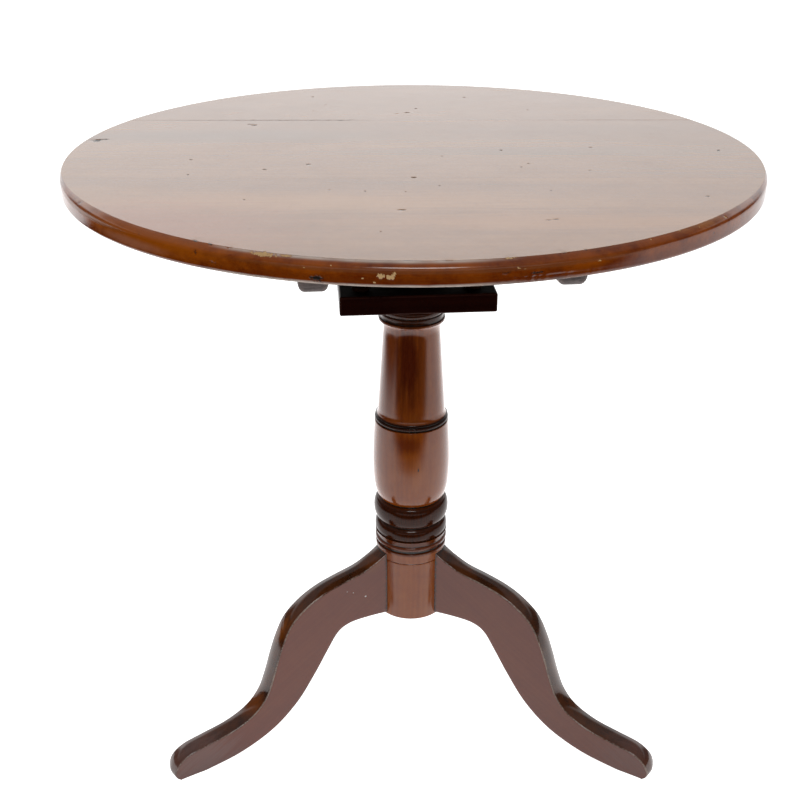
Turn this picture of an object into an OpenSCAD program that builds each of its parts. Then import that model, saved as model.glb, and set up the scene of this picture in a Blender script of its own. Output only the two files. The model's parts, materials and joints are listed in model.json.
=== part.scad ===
// Tilt-top tripod table with a turning cage, in millimetres.
// +Z is up, the floor is z = 0 and the pillar stands on the origin.
// The front of the table, where the top hinges, faces -Y.

/* [Top] */
// Diameter of the round top
top_d = 720; // [640:10:820]
// Thickness of the top
top_t = 21; // [18:1:28]
// Height of the table
table_h = 700; // [670:5:760]
// Radius of the rim's upper arris
upper_arris = 2; // [0.5:0.5:4]
// Radius of the rim's worn lower arris
lower_arris = 4.5; // [1:0.5:7]
// Distance of the back glue joint behind the centre
back_joint_y = 148; // [135:1:200]
// Distance of the front glue joint before the centre
front_joint_y = 107; // [90:1:180]

/* [Battens] */
// Width of a batten
batten_w = 28; // [24:1:36]
// Thickness of a batten
batten_t = 24; // [22:1:32]
// Length of a batten
batten_l = 600; // [540:10:630]
// Radius of a batten's lower ends
batten_nose = 7; // [2:1:12]
// Diameter of a batten screw's shank
screw_d = 4.5; // [3:0.5:6]
// How far a batten screw goes into the top
screw_bite = 13; // [8:1:14]

/* [Cage] */
// Side of the square lower plate
plate_d = 165; // [156:1:185]
// Thickness of both plates
plate_t = 21; // [18:1:24]
// Width of the upper plate, between the battens
upper_w = 192; // [180:1:205]
// Height of the colonnettes between the plates
colonnette_h = 88; // [80:1:110]
// Greatest diameter of a colonnette
colonnette_d = 23; // [18:1:26]
// Distance of a colonnette's axis from the lower plate's edges
colonnette_inset = 23; // [16:1:26]
// Diameter of a colonnette's tenons
tenon_d = 12; // [8:1:14]
// Length of a colonnette's tenons
tenon_l = 15; // [8:1:16]
// Diameter of the pintles that the top tilts on
pintle_d = 14; // [10:1:15]
// Turn of the cage and the top on the pillar, in degrees
cage_turn = 4.5; // [-180:0.5:180]
// Turn of the boards' joints against the battens, in degrees
board_turn = -4.5; // [-5:0.5:0]

/* [Post] */
// Diameter of the post where the lower plate turns on it
journal_d = 42; // [34:1:48]
// Diameter of the post's end in the upper plate
pivot_d = 24; // [18:1:30]
// Diameter of the turned collar on the lower plate
collar_d = 74; // [64:1:84]
// Height of the collar
collar_h = 15; // [10:1:20]
// Length of the wedge through the post
wedge_l = 96; // [80:1:110]
// Thickness of the wedge
wedge_t = 12; // [8:1:16]
// Height of the wedge at its thick end
wedge_h = 20; // [16:1:24]
// Height of the wedge at its thin end
wedge_tip_h = 14; // [10:1:15]

/* [Pillar] */
// Diameter of the plain drum that holds the legs
drum_d = 83; // [76:1:92]
// Height of the drum's underside above the floor
drum_z = 135; // [125:1:145]
// Height of the plain drum up to its scribed line
drum_h = 79; // [70:1:90]
// Height of the band above the scribed line
band_h = 13.5; // [8:0.5:18]
// Height of the quirk above the band
quirk_h = 4; // [2:0.5:6]
// Height of the small bead
small_bead_h = 5.5; // [4:0.5:8]
// Height of the cove above the small bead
cove_h = 7; // [5:0.5:10]
// Height of the rounded lower ring
ring_h = 18; // [12:0.5:24]
// Height of the big bead
big_bead_h = 28; // [20:0.5:34]
// Diameter of the big bead
big_bead_d = 88.2; // [84:0.2:94]
// Height of the barrel
barrel_h = 99; // [80:1:115]
// Greatest diameter of the barrel
barrel_d = 89.8; // [84:0.2:96]
// Height of the collar bead above the barrel
collar_bead_h = 14; // [8:0.5:18]
// Diameter at the foot of the tapered shaft
shaft_foot_d = 77; // [70:0.5:80]
// Diameter at the top of the tapered shaft
shaft_top_d = 64.2; // [56:0.2:70]
// Height of the neck, from the top of the shaft to the shoulder
neck_h = 47; // [40:1:60]
// Diameter of the neck's rings
neck_ring_d = 74.8; // [70:0.2:80]
// Diameter of the shoulder that carries the cage
shoulder_d = 82; // [76:1:90]

/* [Legs] */
// Thickness of a leg
leg_w = 24; // [20:1:30]
// Distance of a toe from the pillar's axis
leg_reach = 325; // [305:5:350]
// Height of a leg's top edge at the drum
leg_root_top = 222; // [212:1:228]
// Height of a leg's underside at the drum, above the drum's underside
leg_root_rise = 4; // [1:1:8]
// Distance of the knee's outer bend from the axis
knee_reach = 166; // [156:1:176]
// Height of the knee's outer bend
knee_z = 165; // [155:1:175]
// Distance of the ankle's hollow from the axis
ankle_reach = 205; // [198:1:215]
// Height of the ankle's hollow
ankle_z = 71; // [62:1:80]
// Height of the foot's back
foot_z = 35; // [28:1:42]
// Length of the flat pad under a toe
pad_l = 32; // [20:1:40]
// Depth of a leg's dovetail tongue in the drum
tongue_depth = 13; // [8:1:15]
// Width of a tongue at its neck
tongue_neck = 10; // [8:1:12]
// Width of a tongue at its root in the drum
tongue_root = 15; // [13:1:17]

/* [Catch] */
// Length of the catch's case
case_l = 42; // [38:1:50]
// Width of the catch's case
case_w = 30; // [26:1:36]
// Width of the catch's screwed flange
flange_w = 58; // [52:1:70]
// Thickness of the flange
flange_t = 2; // [1:0.5:3]
// Width of the bolt
bolt_w = 14; // [10:1:16]
// Thickness of the bolt
bolt_t = 5; // [4:0.5:6]
// Travel of the bolt
bolt_travel = 7.5; // [6:0.5:9]
// How far the bolt's nose stands out of the case
bolt_nose = 7; // [5:0.5:8]
// Diameter of the finger knob
knob_d = 12; // [8:1:16]
// Height of the finger knob
knob_h = 8; // [5:1:12]

/* [Hidden] */
$fn = 96;

// Clearances: a turning fit, a loose fit within one body, and a seat between two bodies
turn_fit = 0.08;
loose_fit = 0.05;
seat_gap = 0.3;
side_gap = 0.6;
slack = 0.4;
over = 1;

// Finishes
top_wood = "#8a4a22";
red_wood = "#5d2a1a";
dark_wood = "#35150f";
brass = "#b08d3c";

// Heights, from the top down
top_under = table_h - top_t;
upper_top = top_under - seat_gap;
upper_z = upper_top - plate_t;
lower_top = upper_z - colonnette_h;
lower_z = lower_top - plate_t;
shoulder_z = lower_z - seat_gap;

// The tilting axis: the front edges of both plates are flush, and the upper one is
// half round about the pintles, so that the top's underside passes them both
pintle_y = -(plate_d - plate_t) / 2;
pintle_z = upper_z + plate_t / 2;
batten_x = upper_w / 2 + side_gap + batten_w / 2;
pintle_half = batten_x + batten_w / 2 - side_gap;
batten_z = top_under - batten_t;
screw_head_d = 2 * screw_d;
screw_ys = [-230, -140, 20, 125, 230];

// The colonnettes
colonnette_at = plate_d / 2 - colonnette_inset;
tenon_shoulder_d = tenon_d + 6;

// The post
collar_z = lower_top + seat_gap;
wedge_z = collar_z + collar_h;
post_neck_z = wedge_z + wedge_h + 6;
pivot_shoulder_r = pivot_d / 2 + 3;
pivot_z = upper_z - 4;
pivot_end_z = upper_top - 2;

// The pillar's turnings, from the drum up
drum_r = drum_d / 2;
edge = 1.5;
scribe = 0.8;
fillet = 0.5;
scribe_z = drum_z + drum_h;
band_z = scribe_z + band_h;
small_bead_z = band_z + quirk_h;
cove_z = small_bead_z + small_bead_h;
ring_z = cove_z + cove_h;
big_bead_z = ring_z + ring_h;
barrel_z = big_bead_z + big_bead_h;
barrel_top = barrel_z + barrel_h;
shaft_top_z = shoulder_z - neck_h;
band_r = drum_r + 0.7;
quirk_r = drum_r - 1.8;
groove_r = drum_r - 3.3;
small_bead_out = 1.8;
small_bead_r = band_r + 0.6 - small_bead_out;
ring_r = band_r + 0.6;
barrel_foot_r = groove_r - 0.8;
barrel_r = barrel_d / 2;
barrel_top_r = barrel_r - 2.4;
incised_r = barrel_top_r - 2;
incised_h = 2;
collar_bead_r = barrel_top_r - 0.1;
shaft_foot_r = shaft_foot_d / 2;
shaft_top_r = shaft_top_d / 2;
neck_r = neck_ring_d / 2;
neck_groove_r = neck_r - 2;
neck_step_r = neck_r - 1.2;
neck_hollow_h = 12;
neck_lip_h = 2.5;
neck_groove_h = 8;
neck_bead_h = 7.5;
neck_lip_z = shaft_top_z + neck_hollow_h;
neck_groove_z = neck_lip_z + neck_lip_h;
neck_bead_z = neck_groove_z + neck_groove_h;
shoulder_t = 2;

// The legs
leg_root_z = drum_z + leg_root_rise;
leg_angles = [90, 210, 330];
tongue_top = leg_root_top - 4;
shoulder_in = sqrt(pow(drum_r, 2) - pow(leg_w / 2, 2)) - over;

// The catch
case_gap = 1.5;
case_y = plate_d / 2 + case_gap;
bolt_z = top_under - flange_t - side_gap - bolt_t;
bolt_tail = 22;
nose_land = 2;
cover_t = 1.5;
case_floor = bolt_z - slack;
case_h = top_under - flange_t - case_floor;
bolt_y = case_y - bolt_nose;
bolt_l = bolt_nose + bolt_tail;
case_wall = 3;
spring_y = bolt_y + bolt_l;
spring_l = case_y + case_l - case_wall - spring_y;
wire_d = 0.8;
spring_d = bolt_t - 2 * slack;
spring_turns = 6;
knob_y = case_y + bolt_tail - 8;
stem_d = 4.5;
cover_z = case_floor - cover_t;
knob_z = cover_z - slack - knob_h;
flange_l = case_l + 4;
small_screw_d = 3;
small_head_d = 6;
small_screw_l = 10;
flange_screw_x = (flange_w + case_w) / 4;
flange_screw_ys = [case_y + 8, case_y + case_l - 6];

// The keep, let into the upper plate's back edge
keep_t = 1.5;
keep_w = bolt_w + 22;
keep_foot = 4;
keep_h = plate_t - keep_foot;
keep_z = upper_top - keep_h;
mouth_z = bolt_z - slack;
mouth_h = bolt_t + 2 * slack;
mouth_w = bolt_w + 2 * slack;
keep_screw_x = bolt_w / 2 + 6;
keep_screw_z = upper_z + plate_t / 2;
keep_screw_l = 12;

// Curves

// A point of a smooth curve through four knots, between the middle two
function spline_point(a, b, c, d, t) =
    0.5 * (2 * b + (c - a) * t + (2 * a - 5 * b + 4 * c - d) * t * t
           + (3 * b - a - 3 * c + d) * t * t * t);

// A smooth curve through all the knots
function spline(knots, steps) =
    let (last = len(knots) - 1)
    concat([for (i = [0 : last - 1], k = [0 : steps - 1])
            spline_point(knots[max(i - 1, 0)], knots[i], knots[i + 1],
                         knots[min(i + 2, last)], k / steps)],
           [knots[last]]);

// A turned bead: half an ellipse from radius r, standing out by bulge
function bead(r, bulge, z, h, steps) =
    [for (k = [0 : steps]) let (a = 180 * k / steps)
     [r + bulge * sin(a), z + h / 2 * (1 - cos(a))]];

// A quarter of an ellipse from one point to another, hollow towards the axis
function hollow(from, to, steps) =
    [for (k = [0 : steps]) let (a = 90 * k / steps)
     [from[0] + (to[0] - from[0]) * (1 - cos(a)), from[1] + (to[1] - from[1]) * sin(a)]];

// Shared shapes

// A countersunk wood screw, head down at z = 0, its slot cut across
module wood_screw(d, head_d, length) {
    head_h = (head_d - d) / 2;
    difference() {
        union() {
            cylinder(d1 = head_d, d2 = d, h = head_h, $fn = 32);
            cylinder(d = d, h = length - d, $fn = 32);
            translate([0, 0, length - d])
                cylinder(d1 = d, d2 = d / 4, h = d, $fn = 32);
        }
        translate([-head_d, -head_d / 14, -over])
            cube([2 * head_d, head_d / 7, over + head_h / 2]);
    }
}

// The hole that such a screw fills
module screw_hole(d, head_d, length) {
    head_h = (head_d - d) / 2;
    cylinder(d = d + 2 * loose_fit, h = length + slack, $fn = 32);
    cylinder(d1 = head_d + 2 * loose_fit, d2 = d + 2 * loose_fit, h = head_h, $fn = 32);
    translate([0, 0, -over])
        cylinder(d = head_d + 2 * loose_fit, h = over + 0.001, $fn = 32);
}

// Places of the batten screws, from below
module at_batten_screws(side) {
    for (y = screw_ys)
        translate([side * batten_x, y, batten_z])
            children();
}

// Places of the catch's flange screws, from below
module at_flange_screws() {
    for (side = [-1, 1], y = flange_screw_ys)
        translate([side * flange_screw_x, y, top_under - flange_t])
            children();
}

// Places of the keep's screws, driven in from the back
module at_keep_screws() {
    for (side = [-1, 1])
        translate([side * keep_screw_x, plate_d / 2, keep_screw_z])
            rotate([90, 0, 0])
                children();
}

// Places of the four colonnettes
module at_colonnette(side, end) {
    translate([side * colonnette_at, end * colonnette_at, 0])
        children();
}

// The whole cage and top turn on the pillar
module turned() {
    rotate([0, 0, cage_turn])
        children();
}

// The top

// The round top as one disc, both arrises rounded
module top_disc() {
    rim_r = top_d / 2;
    rotate_extrude($fn = 240)
        polygon(concat(
            [[0, top_under]],
            [for (a = [-90 : 15 : 0])
                [rim_r - lower_arris + lower_arris * cos(a),
                 top_under + lower_arris + lower_arris * sin(a)]],
            [for (a = [0 : 18 : 90])
                [rim_r - upper_arris + upper_arris * cos(a),
                 table_h - upper_arris + upper_arris * sin(a)]],
            [[0, table_h]]));
}

// One board of the top, from y0 to y1, with the blind screw holes in it
module top_board(y0, y1) {
    turned()
        difference() {
            intersection() {
                top_disc();
                rotate([0, 0, board_turn])
                    translate([-top_d, y0, top_under - over])
                        cube([2 * top_d, y1 - y0, top_t + 2 * over]);
            }
            for (side = [-1, 1])
                at_batten_screws(side)
                    screw_hole(screw_d, screw_head_d, batten_t + screw_bite);
            at_flange_screws()
                screw_hole(small_screw_d, small_head_d, small_screw_l);
        }
}

module top_board_front() {
    color(top_wood)
        top_board(-top_d, -front_joint_y);
}

module top_board_middle() {
    color(top_wood)
        top_board(-front_joint_y, back_joint_y);
}

module top_board_back() {
    color(top_wood)
        top_board(back_joint_y, top_d);
}

// A batten, its lower ends rounded and its cheek bored for the pintle
module batten(side) {
    half = batten_l / 2;
    color(dark_wood)
        turned()
            difference() {
                translate([side * batten_x - batten_w / 2, 0, top_under])
                    rotate([90, 0, 90])
                        linear_extrude(batten_w)
                            polygon(concat(
                                [[-half, 0]],
                                [for (a = [180 : 15 : 270])
                                    [-half + batten_nose + batten_nose * cos(a),
                                     -batten_t + batten_nose + batten_nose * sin(a)]],
                                [for (a = [270 : 15 : 360])
                                    [half - batten_nose + batten_nose * cos(a),
                                     -batten_t + batten_nose + batten_nose * sin(a)]],
                                [[half, 0]]));
                translate([side * batten_x - batten_w, pintle_y, pintle_z])
                    rotate([0, 90, 0])
                        cylinder(d = pintle_d + 2 * turn_fit, h = 2 * batten_w);
                at_batten_screws(side)
                    screw_hole(screw_d, screw_head_d, batten_t + screw_bite);
            }
}

module batten_left() {
    batten(-1);
}

module batten_right() {
    batten(1);
}

module batten_screws() {
    color("#4a4038")
        turned()
            for (side = [-1, 1])
                at_batten_screws(side)
                    wood_screw(screw_d, screw_head_d, batten_t + screw_bite);
}

// The cage

// The upper plate: its front edge half round about the pintles, which are one with it
module cage_upper_plate() {
    color(dark_wood)
        turned()
            difference() {
                union() {
                    translate([-upper_w / 2, pintle_y, upper_z])
                        cube([upper_w, plate_d / 2 - pintle_y, plate_t]);
                    translate([-upper_w / 2, pintle_y, pintle_z])
                        rotate([0, 90, 0])
                            cylinder(d = plate_t, h = upper_w);
                    translate([-pintle_half, pintle_y, pintle_z])
                        rotate([0, 90, 0])
                            cylinder(d = pintle_d, h = 2 * pintle_half);
                }
                translate([0, 0, upper_z - over])
                    cylinder(d = pivot_d + 2 * turn_fit, h = plate_t + 2 * over);
                colonnette_sockets(upper_z - over, tenon_l + over + slack);
                translate([-keep_w / 2 - loose_fit, plate_d / 2 - keep_t, keep_z - loose_fit])
                    cube([keep_w + 2 * loose_fit, keep_t + over, keep_h + over]);
                translate([-mouth_w / 2, bolt_y - slack, mouth_z])
                    cube([mouth_w, plate_d / 2 - bolt_y + over, mouth_h]);
                at_keep_screws()
                    screw_hole(small_screw_d, small_head_d, keep_screw_l);
            }
}

// Blind sockets for the colonnettes' tenons
module colonnette_sockets(z, depth) {
    for (side = [-1, 1], end = [-1, 1])
        at_colonnette(side, end)
            translate([0, 0, z])
                cylinder(d = tenon_d + 2 * loose_fit, h = depth, $fn = 48);
}

// The square lower plate, bored for the post
module cage_lower_plate() {
    color(dark_wood)
        turned()
            difference() {
                translate([-plate_d / 2, -plate_d / 2, lower_z])
                    cube([plate_d, plate_d, plate_t]);
                translate([0, 0, lower_z - over])
                    cylinder(d = journal_d + 2 * turn_fit, h = plate_t + 2 * over);
                colonnette_sockets(lower_top - tenon_l - slack, tenon_l + slack + over);
            }
}

// A colonnette: a tenon at each end, a fillet, a ring, and a slim vase between the rings
module colonnette(side, end) {
    r = colonnette_d / 2;
    foot_r = tenon_shoulder_d / 2;
    slim_r = foot_r - edge;
    foot_h = 4;
    ring_foot = foot_h + 2;
    ring_t = 7;
    vase_z = ring_foot + ring_t + 2;
    mid = colonnette_h / 2;
    half_profile = concat(
        [[0, -tenon_l], [tenon_d / 2 - over, -tenon_l], [tenon_d / 2, over - tenon_l],
         [tenon_d / 2, 0]],
        [[foot_r, 0], [foot_r, foot_h], [slim_r, foot_h + over]],
        bead(slim_r, r - slim_r - over, ring_foot, ring_t, 8),
        spline([[slim_r - fillet, vase_z], [slim_r + edge, (vase_z + mid) / 2 - 5],
                [r, mid - 5], [r - over, mid]], 5));
    upper_half = [for (i = [len(half_profile) - 1 : -1 : 0])
                  [half_profile[i][0], colonnette_h - half_profile[i][1]]];
    color(dark_wood)
        turned()
            at_colonnette(side, end)
                translate([0, 0, lower_top])
                    rotate_extrude($fn = 48)
                        polygon(concat(half_profile, upper_half));
}

module colonnette_front_left() {
    colonnette(-1, -1);
}

module colonnette_front_right() {
    colonnette(1, -1);
}

module colonnette_back_left() {
    colonnette(-1, 1);
}

module colonnette_back_right() {
    colonnette(1, 1);
}

// The post's fittings

// The turned collar, round the post on the lower plate
module post_collar() {
    inner_r = journal_d / 2 + loose_fit;
    outer_r = collar_d / 2;
    rounding = collar_h / 3;
    color(dark_wood)
        rotate_extrude()
            polygon(concat(
                [[inner_r, collar_z]],
                [[outer_r, collar_z]],
                [for (a = [0 : 15 : 90])
                    [outer_r - rounding + rounding * cos(a),
                     wedge_z - rounding + rounding * sin(a)]],
                [[inner_r, wedge_z]]));
}

// The wedge's outline seen from the side, thin end towards +X
module wedge_outline(grow) {
    polygon([[-wedge_l / 2, 0], [wedge_l / 2, 0], [wedge_l / 2, wedge_tip_h + grow],
             [-wedge_l / 2, wedge_h + grow]]);
}

// The tapered wedge, through the post's mortise and down on the collar
module post_wedge() {
    color(dark_wood)
        translate([0, wedge_t / 2, wedge_z])
            rotate([90, 0, 0])
                linear_extrude(wedge_t)
                    wedge_outline(0);
}

// The base

// The pillar's turned outline from the drum up to the end of the post
pillar_outline = concat(
    [[0, drum_z], [drum_r - edge, drum_z], [drum_r, drum_z + edge]],
    [[drum_r, scribe_z - scribe], [drum_r - scribe, scribe_z], [band_r, scribe_z + scribe]],
    [[band_r, band_z], [quirk_r, band_z + fillet], [quirk_r, small_bead_z]],
    bead(small_bead_r, small_bead_out, small_bead_z, small_bead_h, 8),
    [[small_bead_r, cove_z + edge]],
    hollow([small_bead_r + fillet, cove_z + cove_h / 2], [ring_r, ring_z], 3),
    spline([[ring_r, ring_z + fillet], [ring_r, ring_z + 0.4 * ring_h],
            [ring_r - edge, ring_z + 0.75 * ring_h], [groove_r, big_bead_z - 2 * fillet]], 4),
    [[groove_r, big_bead_z]],
    bead(groove_r, big_bead_d / 2 - groove_r, big_bead_z, big_bead_h - 2 * fillet, 16),
    [[barrel_foot_r, barrel_z - fillet], [barrel_foot_r, barrel_z]],
    spline([[barrel_foot_r + fillet, barrel_z], [barrel_r - 3.7, barrel_z + 0.07 * barrel_h],
            [barrel_r - 1.2, barrel_z + 0.2 * barrel_h], [barrel_r, barrel_z + 0.43 * barrel_h],
            [barrel_r - 0.3, barrel_z + 0.63 * barrel_h],
            [barrel_r - 1.3, barrel_z + 0.84 * barrel_h], [barrel_top_r, barrel_top]], 5),
    [[incised_r, barrel_top + fillet], [incised_r, barrel_top + incised_h - fillet]],
    [[collar_bead_r - fillet, barrel_top + incised_h]],
    [for (a = [0 : 11.25 : 90])
        [shaft_foot_r + (collar_bead_r - shaft_foot_r) * cos(a),
         barrel_top + incised_h + fillet + (collar_bead_h - fillet) * sin(a)]],
    [[shaft_top_r, shaft_top_z]],
    hollow([shaft_top_r, shaft_top_z], [neck_r, neck_lip_z], 8),
    [[neck_r, neck_groove_z], [neck_groove_r, neck_groove_z + fillet],
     [neck_groove_r, neck_groove_z + 0.55 * neck_groove_h],
     [neck_step_r, neck_groove_z + 0.6 * neck_groove_h],
     [neck_step_r, neck_groove_z + 0.85 * neck_groove_h],
     [neck_groove_r, neck_groove_z + 0.9 * neck_groove_h]],
    bead(neck_groove_r, neck_r - neck_groove_r, neck_bead_z, neck_bead_h, 8),
    hollow([neck_groove_r, neck_bead_z + neck_bead_h + edge],
           [shoulder_d / 2, shoulder_z - shoulder_t], 6),
    [[shoulder_d / 2, shoulder_z], [journal_d / 2, shoulder_z], [journal_d / 2, post_neck_z],
     [pivot_shoulder_r, pivot_z - 2 * edge], [pivot_shoulder_r, pivot_z],
     [pivot_d / 2, pivot_z], [pivot_d / 2, pivot_end_z - over],
     [pivot_d / 2 - over, pivot_end_z], [0, pivot_end_z]]);

// A leg's tongue seen from above, along +X from the axis
module tongue_outline(grow) {
    inner = drum_r - tongue_depth - grow;
    outer = drum_r + over;
    polygon([[inner, -tongue_root / 2 - grow], [outer, -tongue_neck / 2 - grow],
             [outer, tongue_neck / 2 + grow], [inner, tongue_root / 2 + grow]]);
}

// The pillar: turned in one piece, housed for the legs and mortised for the wedge
module pillar() {
    color(red_wood)
        difference() {
            rotate_extrude()
                polygon(pillar_outline);
            for (angle = leg_angles)
                rotate([0, 0, angle])
                    translate([0, 0, drum_z - over])
                        linear_extrude(tongue_top + slack - drum_z + over)
                            tongue_outline(loose_fit);
            translate([0, wedge_t / 2 + loose_fit, wedge_z])
                rotate([90, 0, 0])
                    linear_extrude(wedge_t + 2 * loose_fit)
                        wedge_outline(slack);
        }
}

// A leg's side outline, x along the floor from the pillar's axis and y up
leg_top_edge = spline([
    [shoulder_in, leg_root_top + over], [52, leg_root_top - 7.5], [73, leg_root_top - 17],
    [100, leg_root_top - 23], [knee_reach - 41, knee_z + 27], [knee_reach - 19, knee_z + 16],
    [knee_reach, knee_z], [knee_reach + 12, knee_z - 22], [knee_reach + 21, knee_z - 46],
    [ankle_reach - 10, ankle_z + 23], [ankle_reach, ankle_z], [ankle_reach + 17, ankle_z - 18],
    [leg_reach - 77, foot_z + 6], [leg_reach - 45, foot_z], [leg_reach - 22, foot_z - 4],
    [leg_reach - 7, foot_z - 11.5], [leg_reach, 12], [leg_reach - 1.5, 4],
    [leg_reach - 7, 0]], 5);
leg_under_edge = spline([
    [leg_reach - 7 - pad_l, 0], [leg_reach - 85, 7.5], [ankle_reach - 8, ankle_z - 46],
    [ankle_reach - 41, ankle_z - 19], [knee_reach - 26, knee_z - 81],
    [knee_reach - 44, knee_z - 53], [knee_reach - 58, knee_z - 33],
    [knee_reach - 73, knee_z - 25], [70, leg_root_z + 2], [shoulder_in, leg_root_z]], 5);

// A sawn cabriole leg along +X, its shoulder hollowed to the drum and the band above it,
// and its tongue in the drum
module leg(angle) {
    color(red_wood)
        rotate([0, 0, angle]) {
            difference() {
                translate([0, leg_w / 2, 0])
                    rotate([90, 0, 0])
                        linear_extrude(leg_w)
                            polygon(concat(leg_top_edge, leg_under_edge));
                translate([0, 0, drum_z - leg_root_top])
                    cylinder(r = drum_r + loose_fit, h = 3 * leg_root_top);
                translate([0, 0, scribe_z])
                    cylinder(r = band_r + loose_fit, h = leg_root_top);
            }
            translate([0, 0, leg_root_z + 2])
                linear_extrude(tongue_top - leg_root_z - 2)
                    tongue_outline(0);
        }
}

module leg_left() {
    leg(leg_angles[1]);
}

module leg_right() {
    leg(leg_angles[2]);
}

module leg_back() {
    leg(leg_angles[0]);
}

// The catch

// The case: a flange on the top's underside, and a channel for the bolt below it
module catch_case() {
    color(brass)
        turned()
            difference() {
                union() {
                    translate([-flange_w / 2, case_y, top_under - flange_t])
                        cube([flange_w, flange_l, flange_t]);
                    translate([-case_w / 2, case_y, case_floor])
                        cube([case_w, case_l, case_h + over / 2]);
                }
                translate([-bolt_w / 2 - slack, case_y - over, case_floor - over])
                    cube([bolt_w + 2 * slack, case_l - case_wall + over,
                          bolt_t + 2 * slack + over]);
                at_flange_screws()
                    screw_hole(small_screw_d, small_head_d, small_screw_l);
            }
}

// The cover under the channel, slotted for the knob's stem
module catch_cover() {
    slot_r = stem_d / 2 + slack;
    color(brass)
        turned()
            difference() {
                translate([-case_w / 2, case_y, cover_z])
                    cube([case_w, case_l, cover_t]);
                translate([0, knob_y, cover_z - over]) {
                    cylinder(r = slot_r, h = cover_t + 2 * over, $fn = 48);
                    translate([0, bolt_travel, 0])
                        cylinder(r = slot_r, h = cover_t + 2 * over, $fn = 48);
                    translate([-slot_r, 0, 0])
                        cube([2 * slot_r, bolt_travel, cover_t + 2 * over]);
                }
            }
}

// The sliding bolt, its nose bevelled below so that it snaps into the keep
module catch_bolt() {
    bevel = bolt_t - nose_land;
    color(brass)
        turned()
            difference() {
                translate([-bolt_w / 2, bolt_y, bolt_z])
                    cube([bolt_w, bolt_l, bolt_t]);
                translate([-bolt_w / 2 - over, bolt_y, bolt_z])
                    rotate([90, 0, 90])
                        linear_extrude(bolt_w + 2 * over)
                            polygon([[-over, -over], [bevel, -over], [bevel, 0],
                                     [0, bevel], [-over, bevel]]);
                translate([0, knob_y, bolt_z - over])
                    cylinder(d = stem_d + 2 * loose_fit, h = bolt_t + 2 * over, $fn = 48);
            }
}

// The finger knob, its stem riveted through the bolt
module catch_knob() {
    neck_r = stem_d / 2;
    color(brass)
        turned()
            translate([0, knob_y, 0])
                rotate_extrude($fn = 48)
                    polygon(concat(
                        [[0, knob_z]],
                        [for (a = [-90 : 15 : 60])
                            [knob_d / 2 * cos(a), knob_z + knob_h * 0.45 * (1 + sin(a))]],
                        [[neck_r, knob_z + knob_h], [neck_r, bolt_z + bolt_t], [0, bolt_z + bolt_t]]));
}

// The coil spring behind the bolt, one wire swept along a helix
module catch_spring() {
    rings = 8 * spring_turns;
    coil_r = (spring_d - wire_d) / 2;
    span = spring_l - wire_d - slack;
    sides = 6;
    centre_z = bolt_z + bolt_t / 2;
    points = [for (k = [0 : rings], j = [0 : sides - 1])
              let (turn = 360 * k / 8, around = 360 * j / sides,
                   r = coil_r + wire_d / 2 * cos(around))
              [r * cos(turn), spring_y + slack / 2 + wire_d / 2 + span * k / rings
                              + wire_d / 2 * sin(around),
               centre_z + r * sin(turn)]];
    sides_faces = [for (k = [0 : rings - 1], j = [0 : sides - 1], half = [0, 1])
                   let (a = k * sides + j, b = k * sides + (j + 1) % sides)
                   half == 0 ? [a, b, b + sides] : [a, b + sides, a + sides]];
    end_faces = [for (j = [1 : sides - 2], last = [0, 1])
                 let (base = last * rings * sides)
                 last == 0 ? [base, base + j + 1, base + j] : [base, base + j, base + j + 1]];
    color("silver")
        turned()
            polyhedron(points = points, faces = concat(sides_faces, end_faces));
}

module catch_screws() {
    color(brass)
        turned()
            at_flange_screws()
                wood_screw(small_screw_d, small_head_d, small_screw_l);
}

// The keep, flush in the upper plate's back edge, with a mouth for the bolt
module catch_keep() {
    color(brass)
        turned()
            difference() {
                translate([-keep_w / 2, plate_d / 2 - keep_t, keep_z])
                    cube([keep_w, keep_t, keep_h]);
                translate([-mouth_w / 2, plate_d / 2 - keep_t - over, mouth_z])
                    cube([mouth_w, keep_t + 2 * over, mouth_h]);
                at_keep_screws()
                    screw_hole(small_screw_d, small_head_d, keep_screw_l);
            }
}

module keep_screws() {
    color(brass)
        turned()
            at_keep_screws()
                wood_screw(small_screw_d, small_head_d, keep_screw_l);
}

top_board_front();
top_board_middle();
top_board_back();
batten_left();
batten_right();
batten_screws();
cage_upper_plate();
cage_lower_plate();
colonnette_front_left();
colonnette_front_right();
colonnette_back_left();
colonnette_back_right();
post_collar();
post_wedge();
pillar();
leg_left();
leg_right();
leg_back();
catch_case();
catch_cover();
catch_spring();
catch_bolt();
catch_knob();
catch_screws();
catch_keep();
keep_screws();
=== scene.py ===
"""The looks of a tilt-top tripod table with a turning cage.

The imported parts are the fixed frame. Each piece made here stands for one of them, in the same
place, with its arrises eased, its turnings cut fine, its wear and its varnish. Sizes are in
metres, the floor is z = 0, and the front of the table, where the top hinges, faces -Y.
"""

import json
import logging
import math
from dataclasses import dataclass, field
from enum import Enum
from typing import Any, Callable, Sequence

import bmesh
import bpy
import numpy as np
from bmesh.types import BMEdge, BMesh
from bpy.types import ID, Material, Mesh, Node, NodeSocket, NodeTree, Object
from mathutils import Matrix, Vector, geometry, noise

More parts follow.
